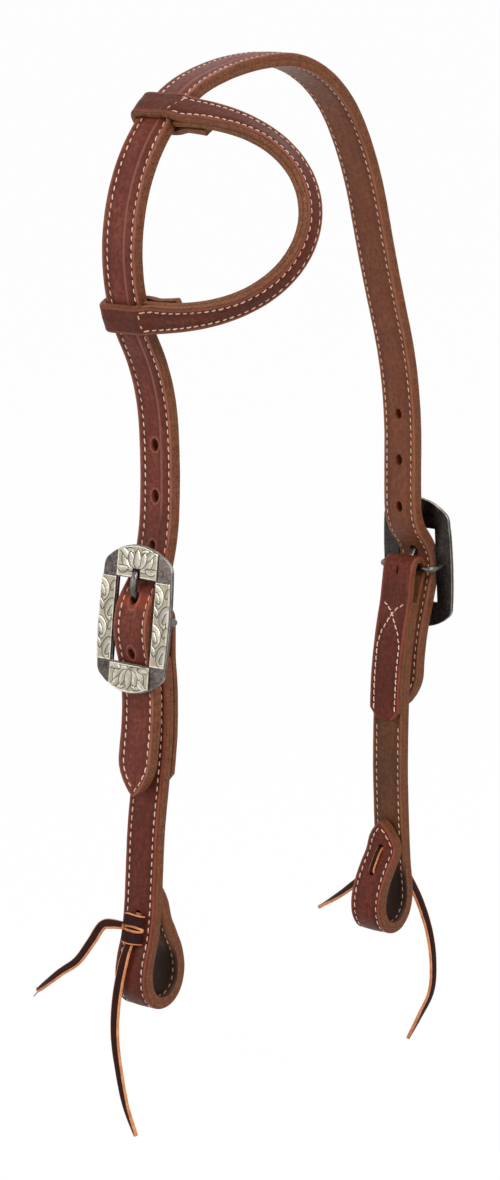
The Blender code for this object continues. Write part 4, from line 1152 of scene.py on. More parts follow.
def strap(name, run, materials, insets=None, crease=None, seed=1.0, sewn=1.0, shade=0.0):
    """A finished ply along its run: materials are those of its face, its edge and its back."""
    points = section(insets, crease)
    count, around = len(run.places), len(points)
    sewn = np.broadcast_to(sewn, (count,)) * (insets is not None) * grooved(run)
    halves = run.widths * (1 + EDGE_WAVE_SHARE * ripple(run.along, seed))
    pull = 1 + 0.6 * np.cos(2 * math.pi * run.along / STITCH_PITCH)
    wave = FACE_WAVE * ripple(run.along, seed + 3.0)
    corners = np.zeros((count, around, 3))
    uvs = np.zeros((count, around, 2))
    edges = np.zeros((count, around, 2))
    fixed, drawn = CROWD_SHARES
    for j, (side, inset, height, groove, crease_share, rise, _) in enumerate(points):
        out = side * (halves - np.minimum(inset, halves * (fixed + drawn * min(1.0, inset / CROWD_REACH))))
        up = height - groove * GROOVE_DEPTH * pull * sewn - crease_share * CREASE_DEPTH + rise * CENTRE_RISE
        corners[:, j] = run.line(out, up + wave * (height > 0))
        uvs[:, j] = np.column_stack([out, run.along])
        edges[:, j] = np.column_stack([halves - np.abs(out), sewn])
    indices = []
    for first, second in zip(points, points[1:] + points[:1]):
        pair = {first[-1], second[-1]}
        indices.append(1 if "edge" in pair or len(pair) > 1 else (2 if "back" in pair else 0))
    indices = indices * (count - 1) + [1, 1]
    layers = {"run": uvs, "edge": edges}
    marks = {"shade": np.repeat(np.broadcast_to(shade, (count,)), around)}
    faces = tube_faces(count, around)
    return mesh_object(name, corners.reshape(-1, 3), faces, materials, indices, layers, marks)


def rod(name, places, radii, side, sides=20):
    """A closed round steel bar along the places."""
    places = np.array(places, float)
    points = []
    for place, tangent, radius in zip(places, unit(np.gradient(places, axis=0)), radii):
        side = square_to(np.array(side), tangent)
        other = np.cross(tangent, side)
        ring = arc_points((0.0, 0.0), radius, 0.0, 360.0, sides)[:-1]
        points += [place + x * side + y * other for x, y in ring]
    return mesh_object(name, points, tube_faces(len(places), sides), [LIT_ROD_STEEL])


def strip(name, places, ways, halves, thickness):
    """A flat lace along the places: ways point across it. Its grain is dark and its cut sides are pale."""
    places = np.array(places, float)
    tangents = unit(np.gradient(places, axis=0))
    ways = square_to(np.broadcast_to(ways, places.shape), tangents)
    outs = np.cross(tangents, ways)
    face = [(0.78 * x, 1.0 - 0.12 * abs(x), 0) for x in (-1.0, -0.5, 0.0, 0.5, 1.0)]
    outline = face + [(1.0, 0.56, 1), (1.0, -0.56, 1)]
    outline += [(-x, -y, cut) for x, y, cut in outline]
    halves = np.broadcast_to(halves, len(places))
    along = lengths_along(places)
    points = [place + half * x * way + thickness / 2 * y * out
              for place, half, way, out in zip(places, halves, ways, outs) for x, y, _ in outline]
    uvs = [(half * x, distance) for half, distance in zip(halves, along) for x, _, _ in outline]
    indices = [max(first[2], second[2]) for first, second in zip(outline, outline[1:] + outline[:1])]
    indices = indices * (len(places) - 1) + [1, 1]
    faces = tube_faces(len(places), len(outline))
    return mesh_object(name, points, faces, [LACE_FACE, LACE_EDGE], indices, {"run": uvs})


def evaluated(obj):
    """The object with its modifiers worked out into a plain mesh and taken off."""
    bpy.context.view_layer.update()
    graph = bpy.context.evaluated_depsgraph_get()
    worked_out = obj.evaluated_get(graph)
    mesh = bpy.data.meshes.new_from_object(worked_out, preserve_all_data_layers=True, depsgraph=graph)
    obj.modifiers.clear()
    obj.data = mesh
    return obj


def cut(obj, *cutters):
    """Takes the cutters out of the object; what they bare gets the hole's own finish."""
    for cutter in cutters:
        change = obj.modifiers.new("cut", "BOOLEAN")
        change.operation = "DIFFERENCE"
        change.solver = "EXACT"
        change.material_mode = "TRANSFER"
        change.object = cutter
    evaluated(obj)
    obj.data.set_sharp_from_angle(angle=math.radians(SMOOTH_ANGLE))
    return obj


def oval_bar(name, middle, along, across, normal, length, width, reach, sides=28):
    """A punch: an oval bar that reaches both ways along the normal."""
    points = [middle + end * normal + length / 2 * x * along + width / 2 * y * across
              for end in (-reach, reach) for x, y in arc_points((0.0, 0.0), 1.0, 0.0, 360.0, sides)[:-1]]
    return mesh_object(name, points, tube_faces(2, sides), [HOLE_WALL])


def drop(*objects):
    for obj in objects:
        bpy.data.objects.remove(obj, do_unlink=True)


def worn_by(obj, body, slot, *nodes):
    """Puts the piece on its body in place of the solids named."""
    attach(obj, body)
    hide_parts(*nodes)


STITCHES = {}


def sew(body, run, insets, start=0.0, end=None, lift=PLY / 2 - GROOVE_DEPTH, soil_and_shade=0.0):
    """Marks a row of stitches down each side of a run; the rows meet where the run comes to a point."""
    end = run.length if end is None else end
    at = np.linspace(start, end, max(16, int((end - start) / FINE_STEP)))
    fine = run.read(at)
    soils_and_shade = np.interp(at, run.along, np.broadcast_to(soil_and_shade, run.along.shape))
    lifts = lift + GROOVE_DEPTH * (1 - grooved(fine))
    for side, inset in zip((-1, 1), insets):
        room = fine.widths - inset * np.sqrt(1 + np.minimum(narrowing(fine), 1.5) ** 2)
        kept = room > ROW_ROOM
        kept[np.argmax(kept):len(kept) - np.argmax(kept[::-1])] = True
        line = fine.line(side * np.maximum(0.0, room), lifts)
        sew_line(body, line[kept], fine.normals[kept], soils_and_shade[kept])


def sew_across(body, run, distances, offsets, half):
    """Marks one row of stitches that wanders across a run by the given offsets."""
    at = np.linspace(distances[0], distances[-1], 160)
    fine = run.read(at)
    out = np.interp(at, distances, offsets)
    rise = (CENTRE_RISE + GROOVE_DEPTH / 2) * np.clip(1.4 * (1 - np.abs(out) / half), 0, 1)
    line = fine.line(out, PLY / 2 - GROOVE_DEPTH / 2 + rise)
    sew_line(body, line, fine.normals, np.zeros(len(at)), CROSS_PITCH)


def sew_line(body, line, normals, soils_and_shade, pitch=STITCH_PITCH):
    """Marks one stitch after another along a line, each slanted a little across it."""
    along = lengths_along(line)
    count = max(1, round(along[-1] / pitch))
    middles = (np.arange(count) + 0.5) * along[-1] / count
    ahead = unit(read_at(middles + THREAD_REACH, along, line) - read_at(middles - THREAD_REACH, along, line))
    outs = unit(read_at(middles, along, normals))
    slant = math.radians(STITCH_SLANT)
    ahead = math.cos(slant) * ahead + math.sin(slant) * np.cross(outs, ahead)
    marks = (read_at(middles, along, line), ahead, outs, np.interp(middles, along, soils_and_shade))
    for store, values in zip(STITCHES.setdefault(body, ([], [], [], [])), marks):
        store.append(values)


def stitch_tree():
    """Lays one bowed stitch on each point, along and out as the point's own marks say."""
    tree = Tree(bpy.data.node_groups.new("stitches", "GeometryNodeTree"))
    face = tree.group.interface
    face.new_socket("Geometry", in_out="INPUT", socket_type="NodeSocketGeometry")
    for name, value in (("Stitch length", STITCH_LENGTH), ("Thread radius", THREAD_RADIUS),
                        ("Bow", STITCH_BOW), ("Sink", STITCH_SINK), ("Unevenness", 0.10)):
        face.new_socket(name, in_out="INPUT", socket_type="NodeSocketFloat").default_value = value
    face.new_socket("Geometry", in_out="OUTPUT", socket_type="NodeSocketGeometry")
    names = ("Geometry", "Stitch length", "Thread radius", "Bow", "Sink", "Unevenness")
    points, length, radius, bow, sink, uneven = (tree.node("NodeGroupInput", output=name) for name in names)
    half, low = length * 0.5, sink * -1.0
    ends = {key: tree.node("ShaderNodeCombineXYZ", (), {0: x, 2: z})
            for key, x, z in (("Start", half * -1.0, low), ("Middle", 0.0, bow), ("End", half, low))}
    curve = tree.node("GeometryNodeCurveQuadraticBezier", (), {"Resolution": 6, **ends})
    ring = tree.node(
        "GeometryNodeCurvePrimitiveCircle", {"mode": "RADIUS"}, {"Resolution": 7, "Radius": radius})
    thread = tree.node(
        "GeometryNodeCurveToMesh", (), {"Curve": curve, "Profile Curve": ring, "Fill Caps": True})
    ahead, out = (tree.node("GeometryNodeInputNamedAttribute", {"data_type": "FLOAT_VECTOR"}, {"Name": name})
                  for name in ("ahead", "out"))
    turn = tree.node(
        "FunctionNodeAxesToRotation", {"primary_axis": "X", "secondary_axis": "Z"}, {0: ahead, 1: out})
    size = tree.node("FunctionNodeRandomValue", {"data_type": "FLOAT"},
                     {2: 1.0 - uneven, 3: 1.0 + uneven, "Seed": STITCH_SEED}, 1)
    laid = tree.node("GeometryNodeInstanceOnPoints", (), {
        "Points": points, "Instance": thread, "Rotation": turn, "Scale": size})
    real = tree.node("GeometryNodeRealizeInstances", (), {0: laid})
    soft = tree.node("GeometryNodeSetShadeSmooth", (), {0: real})
    dyed = tree.node("GeometryNodeSetMaterial", (), {"Geometry": soft, "Material": THREAD})
    tree.node("NodeGroupOutput", (), {0: dyed})
    return tree.group


def lay_stitches():
    """Turns the marks on each body into its stitches, one plain mesh for each body."""
    group = stitch_tree()
    for body, rows in STITCHES.items():
        points, ahead, outs, soils_and_shade = (np.concatenate(row) for row in rows)
        mesh = bpy.data.meshes.new(body + "_stitches")
        mesh.from_pydata([tuple(p) for p in points], [], [])
        for name, values in (("ahead", ahead), ("out", outs)):
            mesh.attributes.new(name, "FLOAT_VECTOR", "POINT").data.foreach_set("vector", values.ravel())
        mesh.attributes.new("soil_and_shade", "FLOAT", "POINT").data.foreach_set("value", soils_and_shade)
        obj = linked(body + "_stitches", mesh)
        obj.modifiers.new("stitches", "NODES").node_group = group
        evaluated(obj)
        obj.data.materials.clear()
        obj.data.materials.append(THREAD)
        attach(obj, body)


def whole_run(path, widths):
    """A strap's stations along the whole path, with the half widths that the given rule finds."""
    distances = stations(path.length)
    normals = unit(np.cross(ACROSS, path.tangent(distances)))
    sides = np.tile(ACROSS, (len(distances), 1))
    return Run(path.at(distances), sides, normals, widths(distances))


def dress_crown():
    """The two plies over the poll, with the holes of both billets."""
    path, _, _ = crown_path()
    tips = ((0.0, BILLET_POINT), (path.length, BILLET_POINT))
    run = whole_run(path, lambda d: point_widths(d, tips, STRAP_WIDTH / 2))
    cutters = []
    rubs = []
    holes = []
    crease_ends = []
    for side in SIDES:
        through = float(tongue_hole(path, side))
        tongue = through + side.outward * TONGUE_HOLE_DROP
        rubs += zip((tongue, tongue - side.outward * PLATE_HEIGHT * RUB_SHARE), RUB_REACHES)
        crease_ends.append(through - side.outward * PLATE_HEIGHT * CREASE_END_SHARE)
        for k in range(-HOLES_BELOW, HOLES_ABOVE + 1):
            distance = tongue - side.outward * (k * HOLE_PITCH + (HOLE_LIFT if k > 0 else 0.0))
            along = path.tangent(distance)
            ways = (along, ACROSS, np.cross(ACROSS, along))
            size = (TONGUE_HOLE_LENGTH, TONGUE_HOLE_WIDTH) if k == 0 else (HOLE_LENGTH, HOLE_WIDTH)
            cutters.append(oval_bar("hole", path.at(distance), *ways, *size, PUNCH_REACH))
            holes.append((distance, *size))
    grain = grain_leather(
        "crown_grain", srgb(76, 29, 19), srgb(106, 44, 30), srgb(148, 92, 74), CROWN_INSETS,
        (CREASE_INSET, *sorted(crease_ends)), rubs, holes, 0.55)
    back = grain_leather(
        "crown_inner_grain", srgb(84, 44, 28), srgb(114, 64, 42), srgb(140, 88, 60), CROWN_BACK_INSETS,
        depth=0.2)
    outer = run.lifted(PITCH / 2)
    inner = run.lifted(-PITCH / 2).flipped()
    for name, lie, face, insets, crease, slot, soil_and_shade in (
            ("crown_outer_ply", outer, grain, CROWN_INSETS, CREASE_INSET, "grain_leather", 0.0),
            ("crown_lining_ply", inner, back, CROWN_BACK_INSETS, None, "lining_leather", 0.45)):
        ply = strap(name + "_leather", lie, (face, EDGE, FLESH, HOLE_WALL), insets, crease, len(name))
        worn_by(cut(ply, *cutters), "crown", slot, name)
        sew("crown", lie, insets, soil_and_shade=soil_and_shade)
    drop(*cutters)


class Lie:
    """How a buckle's or a cheek's own frame lies in the row frame: tilted, and turned half round or not."""

    def __init__(self, side, tilt):
        a = math.radians(tilt)
        b = math.radians(side.turned)
        tip = np.array([[1, 0, 0], [0, math.cos(a), -math.sin(a)], [0, math.sin(a), math.cos(a)]])
        about = np.array([[math.cos(b), -math.sin(b), 0], [math.sin(b), math.cos(b), 0], [0, 0, 1]])
        self.turn = about @ tip
        self.bail = np.array([0.0, *side.bail])

    def way(self, ways):
        return np.asarray(ways) @ self.turn.T

    def place(self, places):
        return self.way(places) + self.bail


def dress_cheek(side):
    """The cheek's two plies, punched and slit, with their rows of stitches and the tie."""
    lie = Lie(side, side.lean)
    path, front = cheek_path(side)
    body = side.name + "_cheek"
    frames = lace_frames(path, front, side)
    cutters = []
    for middle, out, depth in frames:
        ways = lie.way((np.cross(out, ACROSS), ACROSS, out))
        size = (LACE_HOLE, LACE_WIDTH + 2 * LACE_PLAY, depth / 2 + PUNCH_OVERRUN)
        cutters.append(oval_bar("lace_hole", lie.place(middle - depth / 2 * out), *ways, *size))
    middle = lie.place((0.0, (2 * FOLD_RADIUS - SLOT_BACK) / 2, (3 * FOLD_RADIUS - SLOT_BELOW) / 2))
    ways = lie.way(((0.0, 0.0, 1.0), ACROSS, (0.0, 1.0, 0.0)))
    size = (3 * FOLD_RADIUS + SLOT_BELOW, SLOT_WIDTH, (2 * FOLD_RADIUS + SLOT_BACK) / 2)
    slot = oval_bar("slot", middle, *ways, *size)
    tip = ((path.length, TAB_POINT),)
    run = whole_run(path, lambda d: np.minimum(point_widths(d, tip, CHEEK_WIDTH / 2), chape_widths(d)))
    outer = run.moved(lie)
    fold = path.nearest((0.0, BAIL_ROD / 2 + PIN_PLAY + PLY / 2 - FOLD_RADIUS, FOLD_RADIUS))
    at_slit = outer.read(fold - SLIT_BACK + np.array([0.0, FINE_STEP]))
    ways = (unit(at_slit.places[1] - at_slit.places[0]), at_slit.sides[0], at_slit.normals[0])
    slit = oval_bar("slit", at_slit.places[0], *ways, *SLIT_SIZE)
    cross = fold - TAB_CROSS
    front_start, front_fade = FRONT_GROOVE
    sewn = risen(-outer.along, -cross, TAB_ROW_FADE) + risen(outer.along, fold + front_start, front_fade)
    finish = (CHEEK_GRAIN, EDGE, FLESH, HOLE_WALL)
    ply = strap(body + "_outer_leather", outer, finish, CHEEK_INSETS, seed=5.0, sewn=sewn)
    worn_by(cut(ply, slot, slit, *cutters), body, "grain_leather", body + "_outer_ply")
    inner_path = path.shifted(ACROSS, -PITCH)
    inner_tip = ((inner_path.length, TAB_POINT),)
    lining = whole_run(inner_path, lambda d: point_widths(d, inner_tip, CHEEK_WIDTH / 2)).moved(lie)
    lining = lining.read(np.arange(front_place(inner_path), lining.length, STATION_STEP)).flipped()
    low_hole, low_out, low_depth = frames[1]
    start, end = (lining.nearest(lie.place(place)) for place in (low_hole, low_hole - low_depth * low_out))
    overlap, fade = LOOP_SHADE
    shade = within(lining.along, start - overlap, end + overlap, fade)
    finish = (CHEEK_INNER, EDGE, FLESH, HOLE_WALL)
    ply = strap(body + "_lining_leather", lining, finish, CHEEK_INSETS, seed=9.0, shade=shade)
    worn_by(cut(ply, *cutters), body, "lining_leather", body + "_lining_ply")
    drop(slot, slit, *cutters)
    half = CHEEK_WIDTH / 2 - CHEEK_INSETS[0]
    distances, shares = zip(CROSS_START, *((cross + step, share) for step, share in CROSS_STEPS))
    for hand in (-1, 1):
        sew_across(body, outer, distances, hand * half * np.array(shares), half)
    sew(body, outer, CHEEK_INSETS, fold + ROW_START, soil_and_shade=0.12)
    # The lining's stitches inside the bit loop are darkened with the loop's painted shade.
    sew(body, lining, CHEEK_INSETS, CHAPE_TAB - LINING_START + LINING_ROW_START, soil_and_shade=0.35 + 0.6 * shade)
    dress_tie(side, frames, lie)


def dress_tie(side, frames, lie):
    """Lace through the strap and its tab, and outside two flat wraps with the lace's pale side between."""
    body = side.name + "_cheek"
    (first, first_out, first_depth), (last, last_out, last_depth) = frames
    rest = PLY / 2 + TIE_REST + LACE_THICKNESS / 2
    places = [first + TIE_PROUD * first_out, first - (first_depth + rest) * first_out,
              last - (last_depth + rest) * last_out, last + TIE_PROUD * last_out]
    into, along, back = (0.5 * (here + there) for here, there in zip(places, places[1:]))
    bend, sag = TIE_SAGS
    route = smooth([places[0], into, places[1] + bend * first_out, along + sag * first_out,
                    places[2] + bend * last_out, back, places[3]])
    lace = strip(
        side.name + "_tie_lace_strip", lie.place(route[::2]), lie.way(ACROSS), LACE_WIDTH / 2, LACE_THICKNESS)
    worn_by(lace, body, "lace_leather", side.name + "_tie_lace")
    out = unit(first_out + last_out)
    down = square_to(last - first, out)
    middle = (first + last) / 2 + (PLY / 2 + KNOT_REST) * out
    angles = np.linspace(0.0, math.pi, KNOT_STEPS)[:, None]
    shares = np.linspace(-1, 1, KNOT_STEPS)
    strips = []
    for k, (offset, half, bow, high, reached) in enumerate(KNOT_STRIPS):
        row = middle + (offset + bow * np.sin(angles)) * down
        row = row - KNOT_REACH_SHARE * KNOT_WIDTH * np.cos(angles) * ACROSS
        row = row + (KNOT_LOW + (high - KNOT_LOW) * np.minimum(1.0, 1.25 * np.sin(angles)) ** 0.55) * out
        halves = half * (1 - 0.12 * shares**2) * (1 + 0.05 * np.sin(shares * 5 + k))
        piece = strip(f"{side.name}_knot_{k}", lie.place(row), lie.way(down), halves, KNOT_LACE)
        centre = lie.place(middle + offset * down)
        for face in piece.data.polygons:
            if reached == 0:
                face.material_index = 1
            elif reached * (np.array(face.center) - centre) @ lie.way(down) > 0:
                face.material_index = 0
        strips.append(piece)
    worn_by(joined(side.name + "_tie_knot_lace", strips), body, "lace_leather", side.name + "_tie_knot")


def joined(name, objects):
    """Several finished pieces as one mesh."""
    build = bmesh.new()
    materials = []
    for obj in objects:
        lookup = []
        for material in obj.data.materials:
            if material not in materials:
                materials.append(material)
            lookup.append(materials.index(material))
        before = len(build.faces)
        build.from_mesh(obj.data)
        build.faces.ensure_lookup_table()
        for face in build.faces[before:]:
            face.material_index = lookup[face.material_index]
    mesh = bpy.data.meshes.new(name)
    build.to_mesh(mesh)
    build.free()
    for material in materials:
        mesh.materials.append(material)
    drop(*objects)
    return linked(name, mesh)


def wisps(place, ahead, way):
    """Loose fibres at a frayed end."""
    shares = np.linspace(0.0, 1.0, FIBRE_STEPS)[:, None]
    half, thickness = FIBRE_SIZE
    strands = []
    for aside, reach, curl in FRAYED:
        places = place + aside * way + shares * reach * ahead + shares**2 * curl * way
        strands.append(strip("wisp", places, way, half * (1 - 0.8 * shares[:, 0]), thickness))
    return strands


def dress_tail(side, kind, route):
    """A free end of the lace: flat, and turned so that one pale cut side shows beside the dark grain."""
    start = np.array(route[0]) + (TAIL_LEAD if kind == "short" else 0.0) * ACROSS
    line = Path(smooth([start, *route[1:]]))
    shares = np.linspace(0.0, 1.0, TAIL_STEPS)
    picked = line.at(np.linspace(0.0, line.length, TAIL_STEPS))
    halves = TAIL_WIDTH / 2 * np.interp(shares, *zip(*TAIL_SHARES))
    halves = halves * (1 + 0.03 * ripple(shares * line.length, len(kind)))
    tangents = unit(np.gradient(picked, axis=0))
    toward = square_to(np.array(VIEW_WAY), tangents)
    beside_it = np.cross(tangents, toward)
    start, end = TAIL_TURNS[side.name, kind]
    turns = np.radians(np.interp(shares, (0.0, 0.25, 0.8, 1.0), (start, start, end, end * 1.7)))[:, None]
    ways = np.cos(turns) * beside_it + np.sin(turns) * toward
    node = f"{side.name}_tie_{kind}_tail"
    tail = strip(node + "_lace", picked, ways, halves, TAIL_THICKNESS)
    if (side.name, kind) == ("near", "short"):
        tail = joined(node + "_lace", [tail] + wisps(picked[-5], tangents[-5], ways[-5]))
    worn_by(tail, side.name + "_cheek", "lace_leather", node)


def wide_slide_loop(angle, place, normal):
    """Round the crown at one angle, from behind the hoop's end to its face, as a strap's stations."""
    centre, radius = ear_circle()
    turn = math.radians(angle)
    radial = np.array([0.0, math.cos(turn), math.sin(turn)])
    base = np.array([0.0, *centre]) + radius * radial
    start = place - 1.5 * PITCH * normal
    end = place + (0.5 * PITCH + HOOP_PARTING) * normal
    lead = (BOX_END - HOOP_START) / 2 * ACROSS
    round_crown = [base + x * ACROSS + r * radial for x, r in slide_points()]
    path = Path(smooth([start + lead, start, *round_crown, end, end + lead]))
    distances = np.linspace(path.nearest(start), path.nearest(end), 90)[1:-1]
    sides = np.tile(np.cross(radial, ACROSS), (len(distances), 1))
    normals = np.cross(path.tangent(distances), sides)
    return path.at(distances), sides, normals, np.full(len(distances), SLIDE_WIDTH / 2)


def agreed(rows, side, normal):
    """The stations with their sides and faces turned the way that their neighbour's lie."""
    places, sides, normals, widths = rows
    sides = sides * math.copysign(1.0, sides[0] @ side)
    return places, sides, normals * math.copysign(1.0, normals[0] @ normal), widths


def softened(run, reach):
    """The run with its kinks eased over that distance."""
    fine = run.fine(EASED_STEP)
    count = max(1, round(reach / EASED_STEP))
    weights = np.hanning(2 * count + 3)[1:-1]
    weights /= weights.sum()

    def ease(values):
        padded = np.concatenate([np.repeat(values[:1], count, 0), values, np.repeat(values[-1:], count, 0)])
        return np.stack([np.convolve(column, weights, "valid") for column in padded.T], -1)

    sides = unit(ease(fine.sides))
    normals = square_to(ease(fine.normals), sides)
    return Run(ease(fine.places), sides, normals, ease(fine.widths[:, None])[:, 0]).fine()


def dress_ear():
    """One strap round the crown, along the hoop and round the crown again, and the layer sewn inside it."""
    places, sides, normals, widths = hoop_stations()
    boxed = int((places[: HOOP_STATIONS // 2, 0] <= BOX_END).sum())
    back = places - 1.5 * PITCH * normals
    face = places + (0.5 * PITCH + HOOP_PARTING) * normals

    def behind(part):
        return back[part][::-1], sides[part][::-1], -normals[part][::-1], np.full(boxed, SLIDE_WIDTH / 2)

    first = behind(slice(0, boxed))
    top = wide_slide_loop(EAR_TOP_ANGLE, places[0], normals[0])
    low = [row[::-1] for row in wide_slide_loop(EAR_LOW_ANGLE, places[-1], normals[-1])]
    runs = [first, agreed(top, first[1][-1], first[2][-1]), (face, sides, normals, widths),
            agreed(low, sides[-1], normals[-1]), behind(slice(-boxed, None))]
    outer = softened(Run(*(np.concatenate(rows) for rows in zip(*runs))), HOOP_EASE)
    hoop_start = outer.nearest(face[0]) - HOOP_LEAD
    hoop_end = outer.nearest(face[-1]) + HOOP_LEAD
    overlap, fade = HOOP_ROW_FADE
    sewn = within(outer.along, hoop_start - overlap, hoop_end + overlap, fade)
    ply = strap("ear_outer_leather", outer, (EAR_GRAIN, EAR_EDGE, FLESH), HOOP_INSETS, seed=2.0, sewn=sewn)
    worn_by(ply, "ear", "grain_leather", "ear_outer_ply")
    inner = places - 0.5 * PITCH * normals
    ends = [place - (place[0] - STRAP_WIDTH / 2 - LINING_GAP) * ACROSS for place in inner[[0, -1]]]
    rows = [np.concatenate([row[:1], row, row[-1:]]) for row in (sides, -normals, widths)]
    lining = softened(Run([ends[0], *inner, ends[1]], *rows), LINING_EASE)
    ply = strap("ear_lining_leather", lining, (EAR_INNER, EAR_EDGE, FLESH), seed=4.0)
    worn_by(ply, "ear", "lining_leather", "ear_lining_ply")
    sew("ear", outer, HOOP_INSETS, hoop_start, hoop_end, PLY / 2 - GROOVE_DEPTH * 0.8, 0.25)
    offsets = np.linspace(-1, 1, 30) * (SLIDE_WIDTH / 2 - HOOP_INSETS[0])
    for at, slant in zip((hoop_start, hoop_end), HOOP_END_SLANTS):
        fine = outer.read(np.linspace(at - slant, at + slant, len(offsets)))
        line = fine.line(offsets, PLY / 2 - GROOVE_DEPTH * 0.5)
        sew_line("ear", line, fine.normals, np.full(len(offsets), 0.2))


def refined(node, material):
    """A hard piece's own solid with its sharp edges eased."""
    build = bmesh.new()
    build.from_mesh(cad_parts[node].data)
    bmesh.ops.remove_doubles(build, verts=build.verts, dist=MERGE_REACH)
    bmesh.ops.dissolve_limit(build, angle_limit=math.radians(1.0), verts=build.verts, edges=build.edges)
    mesh = bpy.data.meshes.new(node + "_metal")
    build.to_mesh(mesh)
    build.free()
    mesh.materials.clear()
    mesh.materials.append(material)
    obj = linked(node + "_metal", mesh)
    change = obj.modifiers.new("eased", "BEVEL")
    change.width = PLATE_EASE
    change.segments = 3
    change.limit_method = "ANGLE"
    change.angle_limit = math.radians(EASED_ANGLE)
    mesh = evaluated(obj).data
    mesh.polygons.foreach_set("use_smooth", [True] * len(mesh.polygons))
    mesh.set_sharp_from_angle(angle=math.radians(SHARP_ANGLE))
    # Marks the small faces of the eased edges, which the steel paints lighter for edge wear and a painted
    # highlight.
    worn = np.ones(len(mesh.vertices))
    for face in mesh.polygons:
        if face.area > BROAD_FACE:
            worn[list(face.vertices)] = 0.0
    mesh.attributes.new("worn", "FLOAT", "POINT").data.foreach_set("value", worn)
    return obj


def leaf(x, z, heading, length, width, curl, steps=44):
    """A curling leaf that grows from a point: places along its middle and its half widths."""
    rows = []
    for k in range(steps + 1):
        share = k / steps
        angle = math.radians(heading + curl * share**1.4)
        fullness = math.sin(math.pi * min(1.0, 0.06 + share) ** 0.8) ** 0.7
        rows.append((x, z, max(LEAF_LEAST, width / 2 * fullness)))
        x += length / steps * math.cos(angle)
        z += length / steps * math.sin(angle)
    return np.array(rows)


def bloom_leaves(base, up):
    """An open bloom with large leaves that curl away to each side."""
    leaves = []
    for hand in (-1, 1):
        for aside, rise, heading, length, width, curl in BLOOM_LEAVES:
            heading = up * (90 - hand * heading)
            leaves.append(leaf(hand * aside, base + up * rise, heading, length, width, up * hand * curl))
    rise, length, width = BLOOM_HEART
    return leaves + [leaf(0.0, base + up * rise, up * 90, length, width, 0.0)]


def vine_leaves(x, low, high):
    """Large leaves that curl to each side in turn up a narrow plate."""
    below, above = VINE_MARGINS
    pitch = (high - low - below - above) / VINE_COUNT
    leaves = []
    for k in range(VINE_COUNT):
        hand = 1 if k % 2 else -1
        for aside, rise, heading, share, width, curl in VINE_LEAVES:
            z = low + below + pitch * (k + rise)
            leaves.append(leaf(x + hand * aside, z, 90 + hand * heading, pitch * share, width, hand * curl))
    return leaves


def engraved(flat, leaves):
    """How far each place is raised by the leaves, cut by the graver, left as ground, and given painted light
    and shade by its slope.
    """
    raised, cutting = np.zeros((2, len(flat)))
    ground, painted_leaf_light = np.ones((2, len(flat)))
    for middles in leaves:
        ahead = unit(np.gradient(middles[:, :2], axis=0))
        for start in range(0, len(flat), PLACES_AT_ONCE):
            part = slice(start, start + PLACES_AT_ONCE)
            gaps = np.hypot(*(flat[part, None, axis] - middles[None, :, axis] for axis in (0, 1)))
            ratio = gaps / middles[:, 2]
            best = ratio.argmin(1)
            q = ratio.min(1)
            width = middles[best, 2]
            inside = q < 1
            off = flat[part] - middles[best, :2]
            aside = (ahead[best, 0] * off[:, 1] - ahead[best, 1] * off[:, 0]) / width
            outline = np.exp(-((q - 1) * width / OUTLINE_WIDTH) ** 2)
            for line in STROKES:
                stroke = 0.75 * np.exp(-((aside - line) * width / STROKE_WIDTH) ** 2)
                outline = np.maximum(outline, stroke * (best < 26 - 12 * abs(line)) * inside)
            vein = 0.8 * np.exp(-(gaps.min(1) / STROKE_WIDTH) ** 2) * (best > 4) * (best < 32)
            dome = np.sqrt(np.clip(1 - q**2, 0, 1)) * np.clip(width / FULL_DOME, 0, 1)
            raised[part] = np.where(inside, dome, raised[part])
            cutting[part] = np.where(inside, np.maximum(outline, vein), np.maximum(cutting[part], outline))
            ground[part] = np.where(inside, 0.0, ground[part])
            # Painted light and shade: one side of each leaf lighter than the other.
            painted_leaf_light[part] = np.where(inside, np.clip(0.66 + 0.42 * aside, 0, 1), painted_leaf_light[part])
    return raised, cutting, ground, painted_leaf_light


def overlay_grid(corners, notched):
    """Rows of places over a plate's face, each row from one side of its outline to the other."""
    spans = np.ptp(corners, axis=0)
    main = int(spans[1] > 1.5 * spans[0])
    first, last = corners[:, main].min(), corners[:, main].max()
    steps = np.linspace(first, last, round(spans[main] / ENGRAVING_STEP))
    across = max(24, round(spans[1 - main] / ENGRAVING_STEP))
    grid = np.zeros((len(steps), across, 2))
    for row, at in zip(grid, np.clip(steps, first + HAIR, last - HAIR)):
        hits = []
        for p, q in zip(corners, np.roll(corners, -1, axis=0)):
            if (p[main] - at) * (q[main] - at) <= 0 and p[main] != q[main]:
                share = (at - p[main]) / (q[main] - p[main])
                hits.append(p[1 - main] + share * (q[1 - main] - p[1 - main]))
        low = window_bounds()[3] + NOTCH_DEPTH if notched and abs(at) < NOTCH_WIDTH / 2 else min(hits)
        row[:, main] = at
        row[:, 1 - main] = np.linspace(low, max(hits), across)
    return grid


def edge_distances(flat, corners):
    """How far each place lies from a closed outline."""
    found = np.full(len(flat), np.inf)
    for p, q in zip(corners, np.roll(corners, -1, axis=0)):
        edge = q - p
        share = np.clip((flat - p) @ edge / (edge @ edge), 0, 1)
        found = np.minimum(found, np.linalg.norm(flat - (p + share[:, None] * edge), axis=1))
    return found


def overlay_leaves(name, corners):
    _, _, window_low, window_top = window_bounds()
    if name == "top":
        return bloom_leaves(window_top + BLOOM_RISE, 1)
    if name == "bottom":
        return bloom_leaves(window_low - BLOOM_DROP, -1)
    (left, low), (right, high) = corners.min(0), corners.max(0)
    return vine_leaves((left + right) / 2, low, high)


